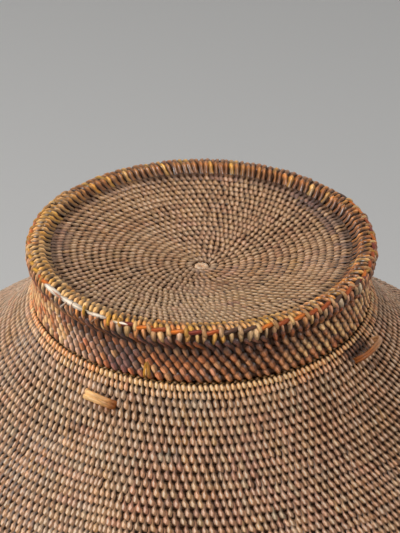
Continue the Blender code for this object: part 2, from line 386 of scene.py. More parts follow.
FAT_GRAIN = SplintShape(
    (
        (0.50, 0.55, -1.10, -1.60), (0.38, 0.98, 0.30, -1.00), (0.16, 1.08, 0.62, -0.90),
        (-0.14, 0.95, 0.38, -0.90), (-0.38, 0.70, 0.05, -1.10), (-0.50, 0.35, -0.70, -1.40),
    ),
    bow=1.2, crest=-0.15,
)
HEAD = SplintShape(
    (
        (0.50, 0.66, -0.50, -1.40), (0.43, 1.00, 0.35, -0.90), (0.28, 1.12, 0.62, -0.80),
        (0.02, 0.98, 0.45, -0.90), (-0.26, 0.90, 0.00, -1.10), (-0.50, 0.80, -0.70, -1.50),
    ),
    bow=2.2,
)
WRAP = SplintShape(
    (
        (0.50, 0.60, -0.80, -1.60), (0.40, 0.95, 0.05, -1.10), (0.25, 1.00, 0.25, -1.00),
        (0.10, 0.95, 0.30, -1.00), (-0.05, 1.00, 0.25, -1.00), (-0.20, 1.00, 0.30, -1.00),
        (-0.35, 0.95, 0.20, -1.10), (-0.50, 0.70, -0.70, -1.50),
    )
)
STRAP = SplintShape(
    (
        (0.50, 0.55, -0.50, -1.20), (0.42, 0.85, 0.30, -0.70), (0.25, 1.00, 0.75, -0.20),
        (0.08, 1.00, 0.90, -0.10), (-0.08, 1.00, 0.90, -0.10), (-0.25, 1.00, 0.75, -0.20),
        (-0.42, 0.85, 0.30, -0.70), (-0.50, 0.50, -0.50, -1.20),
    )
)


@dataclass
class Spots:
    """Where the copies of a shape lie: one value of each kind for each copy."""

    along: np.ndarray
    around: np.ndarray
    lean: np.ndarray
    length: np.ndarray
    width: np.ndarray
    lift: np.ndarray
    stain: np.ndarray

    @classmethod
    def gather(cls, rows: Sequence["Spots"]) -> "Spots":
        """Joins the spots of several rows."""
        keys = cls.__dataclass_fields__
        return cls(*(np.concatenate([getattr(row, key) for row in rows]) for key in keys))


def one_spot(
    along: float, turn: float, lean: float, length: float, width: float, lift: float, dye: Dye
) -> Spots:
    """Gives the spot of a single splint.

    Args:
        along: Distance down the outline in metres.
        turn: Angle round the basket in degrees.
        lean: Lean in degrees.
        length: Length of the splint in mm.
        width: Width of the splint in mm.
        lift: Height above the surface in mm.
        dye: Its colour.

    Returns:
        Spots of one copy.
    """
    sizes = (length * MM, width * MM, lift * MM)
    numbers = (along, math.radians(turn), math.radians(lean), *sizes)
    return Spots(*(np.array([number]) for number in numbers), dye.light[None])


def new_piece(
    name: str, points: np.ndarray, shape: Shape, copies: int, stain: np.ndarray, lie: np.ndarray
) -> bpy.types.Object:
    """Makes one mesh object out of many copies of a shape.

    Args:
        name: Name of the piece.
        points: Places of all points, one copy after another.
        shape: The shape that is copied.
        copies: How many copies there are.
        stain: Colour and crown of each point.
        lie: Map of each point, along and across the fibres.

    Returns:
        The new object, at the origin.
    """
    copy = np.arange(copies)[:, None]
    corners = (shape.corners[None] + copy * len(shape.points)).ravel()
    starts = (shape.starts[None] + copy * len(shape.corners)).ravel()
    mesh = bpy.data.meshes.new(name)
    mesh.vertices.add(len(shape.points) * copies)
    mesh.vertices.foreach_set("co", points.astype(np.float32).ravel())
    mesh.loops.add(len(corners))
    mesh.loops.foreach_set("vertex_index", corners.astype(np.int32))
    mesh.polygons.add(len(starts))
    mesh.polygons.foreach_set("loop_start", starts.astype(np.int32))
    mesh.update(calc_edges=True)
    mesh.shade_smooth()
    tint = mesh.attributes.new("stain", "FLOAT_COLOR", "POINT")
    tint.data.foreach_set("color", stain.astype(np.float32).ravel())
    fibres = mesh.uv_layers.new(name="fibres")
    fibres.uv.foreach_set("vector", lie[corners].astype(np.float32).ravel())
    piece = bpy.data.objects.new(name, mesh)
    bpy.context.scene.collection.objects.link(piece)
    return piece


# A splint that reaches nearer to the axis is laid as if it were this far out.
LEAST_RADIUS = 2 * MM
# Each copy of a splint reads its own stretch of the fibres' pattern.
FIBRE_STEP = np.array([[0.618, 0.377]])
FIBRE_SPREAD = 40
FIBRE_SCALE = (1.6, 1.0)


def lay(
    name: str, shape: Shape, outline: Outline, spots: Spots, skew: float = 0.0
) -> bpy.types.Object:
    """Lays copies of a splint on a turned surface.

    Args:
        name: Name of the piece.
        shape: The splint, one metre long and wide.
        outline: The surface's outline.
        spots: Where the copies lie.
        skew: How far the right side lies below the left, as a share of the width.

    Returns:
        The new object.
    """
    x = shape.points[None, :, 0] * spots.width[:, None]
    y = shape.points[None, :, 1] * spots.length[:, None] - skew * x
    cos, sin = np.cos(spots.lean)[:, None], np.sin(spots.lean)[:, None]
    radius, height, out, up = outline.at(spots.along[:, None] - (x * sin + y * cos))
    lift = shape.points[None, :, 2] + spots.lift[:, None]
    angle = spots.around[:, None] + (x * cos - y * sin) / np.maximum(radius, LEAST_RADIUS)
    points = turned(radius + out * lift, angle, height + up * lift)
    copies, size = angle.shape
    # The crown rides in the stain's alpha, where the finish paints highlight on the crest and shade
    # on the low sides.
    crown = np.broadcast_to(shape.crown[None, :, None], (copies, size, 1))
    stain = np.concatenate([np.repeat(spots.stain[:, None], size, 1), crown], -1)
    shift = np.modf(np.arange(copies)[:, None] * FIBRE_STEP)[0] * FIBRE_SPREAD
    lie = shape.lie[None, :, ::-1] * FIBRE_SCALE + shift[:, None]
    return new_piece(
        name, points.reshape(-1, 3), shape, copies, stain.reshape(-1, 4), lie.reshape(-1, 2)
    )


@functools.cache
def ring(sides: int, steps: int) -> Shape:
    """Models one round of coil: a section spun once round the axis, one metre out."""
    return Bench().circle(sides, 0.5, (1, 0, 0)).spin(steps).take()


def unroll(shape: Shape) -> tuple[np.ndarray, ...]:
    """Reads a ring's points round the axis.

    Args:
        shape: A ring one metre out.

    Returns:
        Each point's angle, its share of a turn, its place outwards and its height.
    """
    x, y, rise = shape.points.T
    angle = np.arctan2(y, x)
    return angle, np.where(angle < 0, angle + math.tau, angle) / math.tau, np.hypot(x, y) - 1, rise


# Width of one stitch in the coil's own pattern.
COUNTED = 3.9 * MM


@dataclass(frozen=True)
class CoilRows:
    """Rounds of bundled cane that lie side by side along an outline."""

    name: str
    outline: Outline
    start: float
    end: float
    rows: int
    wall: float = 4.6 * MM
    sunk: float = 0.45 * MM
    short: float = 0.2 * MM
    fewest: int = 8
    dye: Dye = Dye.BROWN
    sides: int = 8
    steps: int = 96
    overlap: float = 1.06

    def fit(self, body: str, *nodes: str) -> None:
        """Builds the rounds as one piece, whose map counts its stitches, and hands it over.

        Args:
            body: The body that it rides on.
            nodes: The CAD nodes that it replaces.
        """
        shape = ring(self.sides, self.steps)
        angle, turn, out, rise = unroll(shape)
        pitch = (self.end - self.start) / self.rows
        lift = -self.sunk - (0.5 - out) * (self.wall - self.sunk - self.short)
        points, lie = [], []
        for row in range(self.rows):
            centre = self.start + (row + 0.5) * pitch
            radius, height, side, up = self.outline.at(centre - rise * pitch * self.overlap)
            points.append(turned(radius + side * lift, angle, height + up * lift))
            stitches = max(self.fewest, round(math.tau * float(radius.mean()) / COUNTED))
            lie.append(np.stack([turn * stitches + 0.5 * (row % 2), row + rise], -1))
        # The alpha is how far out each point lies; the coil's finish paints the outer side near
        # black as painted shade in the holes.
        stain = np.column_stack([np.tile(self.dye.light, (len(angle), 1)), out + 0.5])
        stain = np.tile(stain, (self.rows, 1))
        piece = new_piece(self.name, np.vstack(points), shape, self.rows, stain, np.vstack(lie))
        hand_over(piece, Finish.COIL, body, *nodes)


def solid_ring(
    name: str, centre: tuple[float, float], size: tuple[float, float], dye: Dye, sides: int = 10,
    steps: int = 120,
) -> bpy.types.Object:
    """Builds one round of coil with an oval section.

    Args:
        name: Name of the piece.
        centre: Radius and height of the section's middle.
        size: Half width and half height of the section.
        dye: Its colour.
        sides: Corners of the section.
        steps: Sections round it.

    Returns:
        The new object.
    """
    shape = ring(sides, steps)
    angle, turn, out, rise = unroll(shape)
    points = turned(centre[0] + out * 2 * size[0], angle, centre[1] + rise * 2 * size[1])
    # The alpha is 1 all round, so under the coil's finish the whole ring is painted near black as
    # shade between its wraps.
    stain = np.column_stack([np.tile(dye.light, (len(angle), 1)), np.ones(len(angle))])
    lie = np.stack([turn * math.tau * centre[0] / COUNTED, rise], -1)
    return new_piece(name, points, shape, 1, stain, lie)


# Stitching


@dataclass
class Needle:
    """Works out where the stitches of each round fall, and which splint each is sewn with."""

    seed: int
    variety: float = 7.0
    runs: tuple[int, int] = (2, 12)
    sway: float = 0.0
    first_angle: float = 0.13
    evenings: int = 10
    ease: float = 0.25
    uneven: float = 0.12
    tones: tuple[float, float] = (0.6, 1.4)
    chance: np.random.RandomState = field(init=False)

    def __post_init__(self) -> None:
        """Sets the needle's own chances."""
        self.chance = np.random.RandomState(self.seed)

    def first(self, count: int) -> np.ndarray:
        """Angles of a round of stitches, which sway spreads out at the left and the right."""
        angles = np.arange(count) * math.tau / count + self.first_angle
        return angles + self.sway * np.sin(2 * angles)

    def following(self, last: np.ndarray, count: int, shift: float) -> np.ndarray:
        """Angles of the next round, whose stitches fall between those of the last.

        Args:
            last: Angles of the last round, rising.
            count: How many stitches the next round has.
            shift: Share of a gap by which the round moves on.

        Returns:
            The angles, rising.
        """
        angles = last + np.diff(np.append(last, last[0] + math.tau)) * shift
        more = count - len(angles)
        if more:
            spots = np.arange(abs(more)) + self.chance.uniform(0.1, 0.9, abs(more))
            spots = (spots * len(angles) / abs(more)).astype(int)
            spots = np.unique(np.minimum(spots, len(angles) - 1))
            ends = np.append(angles, angles[0] + math.tau)
            if more > 0:
                angles = np.sort(np.append(angles, (ends[spots] + ends[spots + 1]) / 2))
            else:
                angles = np.delete(angles, spots)
        for _ in range(self.evenings):
            ahead = np.append(angles[1:], angles[0] + math.tau)
            behind = np.append(angles[-1] - math.tau, angles[:-1])
            angles = angles + self.ease * (ahead + behind - 2 * angles)
        return angles

    def dyes(self, count: int, blend: dict[Dye, float]) -> np.ndarray:
        """Colours of a round of stitches, each splint lasting for some of them.

        Args:
            count: How many stitches there are.
            blend: How common each dye is.

        Returns:
            One colour for each stitch.
        """
        kinds = np.array([dye.light for dye in blend])
        weights = np.array(list(blend.values()), float)
        colours = np.empty((count, 3))
        place = 0
        while place < count:
            run = self.chance.randint(*self.runs)
            share = self.chance.dirichlet(weights / weights.sum() * self.variety)
            colours[place : place + run] = share @ kinds
            place += run
        return colours * self.chance.normal(1, self.uneven, (count, 1)).clip(*self.tones)


@dataclass(frozen=True)
class Patch:
    """A stretch of the sewing in another colour: a range of rows and of angles in degrees."""

    dye: Dye
    rows: tuple[int, int]
    turn: tuple[float, float]
    share: float = 0.8
    chance: float = 1.0
    soft: float = 4.0

    def paint(
        self, colours: np.ndarray, row: int, around: np.ndarray, needle: Needle
    ) -> np.ndarray:
        """Colours those stitches of a row that lie in the patch.

        Args:
            colours: The row's colours.
            row: The row's number in its band.
            around: The stitches' angles.
            needle: Whose chances pick the stitches.

        Returns:
            The colours with the patch in them.
        """
        if not self.rows[0] <= row <= self.rows[1]:
            return colours
        middle = math.radians(sum(self.turn) / 2)
        half = math.radians((self.turn[1] - self.turn[0]) / 2)
        off = np.abs((around - middle + math.pi) % math.tau - math.pi)
        cover = np.clip((half - off) / math.radians(self.soft) + 0.5, 0, 1) * self.share
        cover = cover * (needle.chance.uniform(size=len(around)) < self.chance)
        return colours * (1 - cover[:, None]) + self.dye.light * cover[:, None]


@dataclass(frozen=True)
class Slips:
    """How far stitches stray: shares of a row or a width, degrees of lean, and metres of lift."""

    along: float = 0.02
    around: float = 0.03
    lean: float = 2.5
    length: float = 0.035
    width: float = 0.06
    lift: float = 0.07 * MM


@dataclass
class SewnBand:
    """A run of sewn rows along an outline: the stitches, without the coil under them."""

    name: str
    outline: Outline
    start: float
    end: float
    rows: int
    needle: Needle
    blend: dict[Dye, float]
    patches: tuple[Patch, ...] = ()
    _: KW_ONLY
    reach: float
    pitch: float = 3.8 * MM
    fill: float = 0.78
    lean: float = 9.0
    shift: float = 0.5
    sink: float = 0.0
    tip_up: bool = False
    splint: SplintShape = GRAIN
    shade: float = 1.0
    loose: float = 1.0
    offset: float = 0.5
    skew: float = 0.0
    fewest: int = 7
    tones: tuple[float, float] = (0.002, 0.9)
    slips: Slips = Slips()

    def fit(
        self, finish: "Finish", body: str, *nodes: str, last: np.ndarray | None = None
    ) -> np.ndarray:
        """Sews the band as one piece and hands it over.

        Args:
            finish: Its finish.
            body: The body that it rides on.
            nodes: The CAD nodes that it replaces.
            last: Angles of the round before it, or None where it starts afresh.

        Returns:
            The angles of its last round.
        """
        step = (self.end - self.start) / self.rows
        flip = math.pi if self.tip_up else 0.0
        chance, slips, loose = self.needle.chance, self.slips, self.loose
        rows = []
        for row in range(self.rows):
            along = self.start + (row + self.offset) * step
            radius = float(self.outline.at(np.array(along))[0])
            count = max(self.fewest, round(math.tau * radius / self.pitch))
            if last is None:
                last = self.needle.first(count)
            else:
                last = self.needle.following(last, count, self.shift)
            size = len(last)
            width = math.tau * radius / size
            colours = self.needle.dyes(size, self.blend)
            for patch in self.patches:
                colours = patch.paint(colours, row, last, self.needle)
            rows.append(
                Spots(
                    along=along + chance.normal(0, slips.along * step, size),
                    around=last + chance.normal(0, slips.around * loose, size) * width / radius,
                    lean=np.radians(self.lean + chance.normal(0, slips.lean * loose, size)) + flip,
                    length=step * self.reach * chance.normal(1, slips.length, size),
                    width=width * self.fill * chance.normal(1, slips.width * loose, size),
                    lift=chance.normal(0, slips.lift * loose, size) - self.sink,
                    stain=(colours * self.shade).clip(*self.tones),
                )
            )
        spots = Spots.gather(rows)
        piece = lay(self.name, self.splint.model(), self.outline, spots, self.skew)
        hand_over(piece, finish, body, *nodes)
        return last


# Finishes


class Signal:
    """A number that changes over a surface. Maths on it adds the nodes that work it out."""

    def __init__(self, nodes: "Nodes", socket: bpy.types.NodeSocket) -> None:
        """Keeps the socket that the number comes from."""
        self.nodes = nodes
        self.socket = socket

    def __add__(self, other: "Signal | float") -> "Signal":
        """Adds."""
        return self.nodes.maths("ADD", self, other)

    def __sub__(self, other: "Signal | float") -> "Signal":
        """Subtracts."""
        return self.nodes.maths("SUBTRACT", self, other)

    def __rsub__(self, other: "Signal | float") -> "Signal":
        """Is subtracted."""
        return self.nodes.maths("SUBTRACT", other, self)

    def __mul__(self, other: "Signal | float") -> "Signal":
        """Multiplies."""
        return self.nodes.maths("MULTIPLY", self, other)

    __radd__ = __add__
    __rmul__ = __mul__

    def fraction(self) -> "Signal":
        """Keeps what is after the point."""
        return self.nodes.maths("FRACT", self)

    def size(self) -> "Signal":
        """Drops the sign."""
        return self.nodes.maths("ABSOLUTE", self)

    def between(self, low: float, high: float) -> "Signal":
        """Runs smoothly from 0 at low to 1 at high.

        Args:
            low: Value that becomes 0.
            high: Value that becomes 1.

        Returns:
            The smoothed signal.
        """
        made = self.nodes.node(
            "ShaderNodeMapRange",
            {"interpolation_type": "SMOOTHSTEP"},
            {"Value": self, "From Min": low, "From Max": high, "To Min": 0.0, "To Max": 1.0},
        )
        return Signal(self.nodes, made.outputs["Result"])


@dataclass(frozen=True)
class Pattern:
    """A soft noise on a piece: its grain, and the map that it follows, with that map's stretch."""

    scale: float
    detail: float
    rough: float
    follows: str | None = None
    stretch: tuple[float, float, float] = (1.0, 1.0, 1.0)


STREAKS = Pattern(1.0, 3.0, 0.65, "fibres", (0.8, 2.8, 1.0))
HAIRS = Pattern(1.0, 2.0, 0.6, "fibres", (1.4, 11.0, 1.0))
CLOUDS = Pattern(42.0, 3.0, 0.6)
GRIT = Pattern(900.0, 2.0, 0.7)
HUES = Pattern(260.0, 1.0, 0.5)
COIL_CLOUDS = Pattern(60.0, 3.0, 0.6)
COIL_GRAIN = Pattern(1.0, 2.0, 0.6, "fibres", (14.0, 2.0, 1.0))


class Nodes:
    """The node tree of a material or a world, with short ways to add to it."""

    def __init__(self, owner: bpy.types.Material | bpy.types.World) -> None:
        """Opens the owner's node tree."""
        owner.use_nodes = True
        self.owner, self.tree = owner, owner.node_tree

    def node(
        self, kind: str, settings: dict | None = None, sockets: dict | None = None
    ) -> bpy.types.Node:
        """Adds a node.

        Args:
            kind: The node's type.
            settings: Its settings, which are set first.
            sockets: Values or links of its input sockets, by name or number.

        Returns:
            The new node.
        """
        made = self.tree.nodes.new(kind)
        for key, value in (settings or {}).items():
            setattr(made, key, value)
        self.feed(made, sockets or {})
        return made

    def feed(self, made: bpy.types.Node, sockets: dict) -> None:
        """Sets or links input sockets of a node.

        Args:
            made: The node.
            sockets: Values or links of its input sockets, by name or number.
        """
        for key, value in sockets.items():
            source = value.socket if isinstance(value, Signal) else value
            if isinstance(source, bpy.types.NodeSocket):
                self.tree.links.new(source, made.inputs[key])
            else:
                made.inputs[key].default_value = source

    def end(self, last: str, sockets: dict) -> bpy.types.Material | bpy.types.World:
        """Feeds the tree's last node, given by its name, and hands the owner back."""
        self.feed(self.tree.nodes[last], sockets)
        return self.owner

    def maths(self, operation: str, first: Signal | float, second: Signal | float = 0.0) -> Signal:
        """Adds one step of maths on numbers."""
        made = self.node("ShaderNodeMath", {"operation": operation}, {0: first, 1: second})
        return Signal(self, made.outputs[0])

    def mix(
        self, share: Signal | float, first: object, second: object, way: str = "MIX"
    ) -> bpy.types.NodeSocket:
        """Mixes two colours.

        Args:
            share: How much of the second there is.
            first: First colour, or its socket.
            second: Second colour, or its socket.
            way: How they are blended.

        Returns:
            The socket of the mixed colour.
        """
        settings = {"data_type": "RGBA", "blend_type": way}
        made = self.node("ShaderNodeMix", settings, {0: share, 6: first, 7: second})
        return made.outputs[2]

    def scaled(self, colour: object, factor: Signal | float) -> bpy.types.NodeSocket:
        """Makes a colour, given as its socket or its values, lighter or darker by a factor."""
        made = self.node("ShaderNodeVectorMath", {"operation": "SCALE"}, {0: colour, 3: factor})
        return made.outputs[0]

    def place(
        self, follows: str | None = None, stretch: Sequence[float] = (1, 1, 1)
    ) -> bpy.types.NodeSocket:
        """Gives a place on the piece for a pattern to read.

        Args:
            follows: Name of a map, or None for object coordinates.
            stretch: Scale along each axis.

        Returns:
            The socket of the place.
        """
        if follows:
            source = self.node("ShaderNodeUVMap", {"uv_map": follows}).outputs["UV"]
        else:
            source = self.node("ShaderNodeTexCoord").outputs["Object"]
        sockets = {"Vector": source, "Scale": tuple(stretch)}
        return self.node("ShaderNodeMapping", None, sockets).outputs[0]

    def noise(self, pattern: Pattern) -> Signal:
        """Adds a soft noise.

        Args:
            pattern: Its grain and the map that it follows.

        Returns:
            The noise, from 0 to 1.
        """
        sockets = {
            "Vector": self.place(pattern.follows, pattern.stretch),
            "Scale": pattern.scale,
            "Detail": pattern.detail,
            "Roughness": pattern.rough,
        }
        return Signal(self, self.node("ShaderNodeTexNoise", None, sockets).outputs["Fac"])

    def bump(self, height: Signal, distance: float, strength: float) -> bpy.types.NodeSocket:
        """Turns a height into a normal."""
        sockets = {"Height": height, "Distance": distance, "Strength": strength}
        return self.node("ShaderNodeBump", None, sockets).outputs["Normal"]


@dataclass(frozen=True)
class SplintFinish:
    """Split cane: fibres along it, a crest partly rubbed pale and partly painted highlight, grime
    and painted shade in the low places, and a faint satin shine.
    """

    name: str
    rough: float = 0.28
    fibres: float = 0.75
    # How far the low sides are darkened: grime and painted shade.
    dirt_and_shade: float = 0.84
    # How far the crest is lightened: rubbed cane and painted highlight.
    wear_and_highlight: float = 1.2
    shine: float = 0.5
    cream: float = 0.0
    low: float = 0.32
    crest: tuple[float, float] = (0.8, 0.94)
    dusting: float = 0.0
    relief: float = 0.05 * MM
    # Pale bared cane, also the colour of the painted highlight on the crests.
    bare: Dye = Dye.PALE
    dust: Dye = Dye.GREY
    soil: Dye = Dye.DARK
    soil_depth: float = 0.35
    cool: tuple[float, float, float, float] = (0.98, 0.98, 1.0, 1.0)
    warm: tuple[float, float, float, float] = (1.05, 0.98, 0.95, 1.0)

    def make(self) -> bpy.types.Material:
        """Makes the material.

        Returns:
            A material that takes each splint's colour from the mesh.
        """
        nodes = Nodes(bpy.data.materials.new(self.name))
        stain = nodes.node("ShaderNodeAttribute", {"attribute_name": "stain"})
        dye, crown = stain.outputs["Color"], Signal(nodes, stain.outputs["Alpha"])
        streak, hair, cloud, grit, hue = map(nodes.noise, (STREAKS, HAIRS, CLOUDS, GRIT, HUES))

        # Painted highlight: the crest of each splint is made lighter, partly as rubbed cane and
        # partly as the glint that light gives it.
        ridge = crown.between(*self.crest)
        worn_highlight = ridge * (0.4 + streak * 1.2) * self.wear_and_highlight
        # Painted shade: the low sides and ends of each splint are darkened, partly as grime and
        # partly as the shade in the hollows between splints.
        lit = 1 - self.dirt_and_shade + crown.between(self.low, self.crest[0]) * self.dirt_and_shade + worn_highlight
        tone = (1 + (streak - 0.5) * (2 * self.fibres) + (hair - 0.5) * self.fibres) * lit
        tint = nodes.mix(hue.between(0.36, 0.64), self.cool, self.warm)
        colour = nodes.scaled(nodes.mix(1.0, dye, tint, "MULTIPLY"), tone)

        red = nodes.node("ShaderNodeSeparateColor", None, {0: dye}).outputs[0]
        light = Signal(nodes, red).between(0.12, 0.5)
        # Painted highlight: the crests of the lighter splints turn pale.
        bared_highlight = ridge * (0.3 + streak.between(0.4, 0.6) * 0.7) * light
        colour = nodes.mix(bared_highlight * self.cream, colour, (*self.bare.light, 1))
        dusty = cloud.between(0.48, 0.72) * self.dusting
        colour = nodes.mix(dusty, colour, (*self.dust.light, 1))
        soiled = grit.between(0.6, 0.8) * (0.25 * self.dirt_and_shade)
        colour = nodes.mix(soiled, colour, (*(self.soil.light * self.soil_depth), 1))

        gloss = self.rough + (streak - 0.5) * 0.14 + (1 - crown) * 0.1 + (cloud - 0.5) * 0.2
        normal = nodes.bump(streak * 0.7 + hair * 0.3, self.relief, 0.7)
        return nodes.end("Principled BSDF", {
            "Base Color": colour, "Roughness": gloss, "Normal": normal,
            "Specular IOR Level": self.shine,
        })


@dataclass(frozen=True)
class CoilFinish:
    """Bundled cane under and inside the sewing: its outer side painted near black as the shade in
    the holes between stitches, with the stitches' backs inside.
    """

    name: str
    inner: Dye = Dye.TAN
    core: Dye = Dye.BROWN
    # How dark the outer side is painted, as shade.
    hole_shade_depth: float = 0.17
    gap_depth: float = 0.12
    lean: float = 0.12
    relief: float = 0.5 * MM
    shine: float = 0.3

    def make(self) -> bpy.types.Material:
        """Makes the material.

        Returns:
            A material with stitches counted by the mesh's own map.
        """
        nodes = Nodes(bpy.data.materials.new(self.name))
        stain = nodes.node("ShaderNodeAttribute", {"attribute_name": "stain"})
        outer = Signal(nodes, stain.outputs["Alpha"]).between(0.35, 0.75)
        split = nodes.node("ShaderNodeSeparateXYZ", None, {0: nodes.place("fibres")})
        turn, row = (Signal(nodes, split.outputs[k]) for k in range(2))
        cloud, grain = nodes.noise(COIL_CLOUDS), nodes.noise(COIL_GRAIN)
        gap = ((turn + row * self.lean).fraction() - 0.5).size().between(0.36, 0.5)
        tone = 0.62 + cloud * 0.5 + grain * 0.25
        back = nodes.scaled(tuple(self.inner.light), tone)
        back = nodes.mix(gap * 0.75, back, (*(self.core.light * self.gap_depth), 1))
        # Painted shade: the outer side is coloured near black, as the holes between the stitches
        # look in shade.
        core = nodes.scaled(tuple(self.core.light * self.hole_shade_depth), tone)
        return nodes.end("Principled BSDF", {
            "Base Color": nodes.mix(outer, back, core),
            "Roughness": 0.62 + cloud * 0.2,
            "Normal": nodes.bump((1 - gap) + grain * 0.15, self.relief, 0.9),
            "Specular IOR Level": self.shine,
        })


@dataclass(frozen=True)
class FloorFinish:
    """A plain pale studio floor."""

    name: str = "studio_floor"
    colour: tuple[float, float, float] = (0.93, 0.92, 0.90)
    rough: float = 0.85
    shine: float = 0.2

    def make(self) -> bpy.types.Material:
        """Makes the floor's material.

        Returns:
            A material of one even colour.
        """
        nodes = Nodes(bpy.data.materials.new(self.name))
        return nodes.end("Principled BSDF", {
            "Base Color": (*self.colour, 1), "Roughness": self.rough,
            "Specular IOR Level": self.shine,
        })


class Finish(Enum):
    """The finishes that the basket's pieces are given."""

    SEWING = SplintFinish(
        "sewn_cane", rough=0.34, shine=0.4, wear_and_highlight=1.9, cream=0.95, low=0.36, dusting=0.05
    )
    LID_SEWING = SplintFinish(
        "lid_sewn_cane", rough=0.36, dirt_and_shade=0.8, wear_and_highlight=1.1, cream=0.6, dusting=0.05
    )
    WALL_SEWING = SplintFinish("brown_sewn_cane", dirt_and_shade=0.95, wear_and_highlight=1.3, cream=0.22)
    RIM = SplintFinish("golden_rim_cane", dirt_and_shade=0.85, cream=0.12)
    SPLINT = SplintFinish("laid_splint", rough=0.34, dirt_and_shade=0.5, wear_and_highlight=0.5, shine=0.35)
    COIL = CoilFinish("bundled_cane")

    @functools.cached_property
    def material(self) -> bpy.types.Material:
        """The finish's material, made once."""
        return self.value.make()


def hand_over(piece: bpy.types.Object, finish: Finish, body: str, *nodes: str) -> None:
    """Gives a piece its finish and its body, and hides the CAD nodes that it stands for.

    Args:
        piece: The piece.
        finish: Its finish.
        body: The body that it rides on.
        nodes: The CAD nodes that it replaces.
    """
    piece.data.materials.append(finish.material)
    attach(piece, body)
    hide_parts(*nodes)
    piece.data.calc_loop_triangles()
    log.info("%s: %d triangles", piece.name, len(piece.data.loop_triangles))


# Body


BODY = "basket"
LID = "lid"
ALL_ROUND = (-180, 180)
FEW_STITCHES = (1, 5)
SHOULDER_BLEND = {
    Dye.BEIGE: 4, Dye.TAN: 3, Dye.GREY: 2.2, Dye.ROSE: 2.8, Dye.OCHRE: 0.6, Dye.BROWN: 1.2,
    Dye.SAGE: 0.9,
}
KNOT_BLEND = {Dye.TAN: 3, Dye.GREY: 2, Dye.BEIGE: 2}
BODY_ROWS = {
    "shoulder_top_coil": 2, "shoulder_wall": 20, "belly_upper_wall": 16, "belly_lower_wall": 13,
    "lower_wall": 11, "heel_wall": 10, "base_disc": 25,
}
BODY_PATCHES = {
    "shoulder_top_coil": (
        # The first row's straw is partly its own colour and partly painted light against the shade
        # under the lid's edge.
        Patch(Dye.STRAW, (0, 0), ALL_ROUND, 0.6),
        Patch(Dye.ORANGE, (0, 0), (-200, -124), 0.6, 0.8),
        Patch(Dye.ORANGE, (0, 1), (-60, 20), 0.35, 0.7),
        Patch(Dye.OCHRE, (0, 1), ALL_ROUND, 0.3, 0.5),
        # Painted shadow under the front right loop.
        Patch(Dye.DARK, (1, 1), (-39, -25), 1.0, 1.0),
    ),
    "shoulder_wall": (
        Patch(Dye.ROSE, (3, 21), (-104, -50), 0.4, 0.5),
        Patch(Dye.RED, (3, 20), (-102, -72), 0.35, 0.25),
        Patch(Dye.OCHRE, (1, 4), (-108, -84), 0.4, 0.4),
        Patch(Dye.BROWN, (2, 21), (-55, 60), 0.35, 0.6),
        Patch(Dye.GREY, (0, 3), (-130, -95), 0.3, 0.5),
        # Painted shadow under the front right loop.
        Patch(Dye.DARK, (0, 0), (-37, -24), 1.0, 1.0),
    ),
    "belly_upper_wall": (
        Patch(Dye.BROWN, (0, 9), (-55, 60), 0.22, 0.5),
        Patch(Dye.ROSE, (0, 9), (-104, -50), 0.3, 0.4),
    ),
}


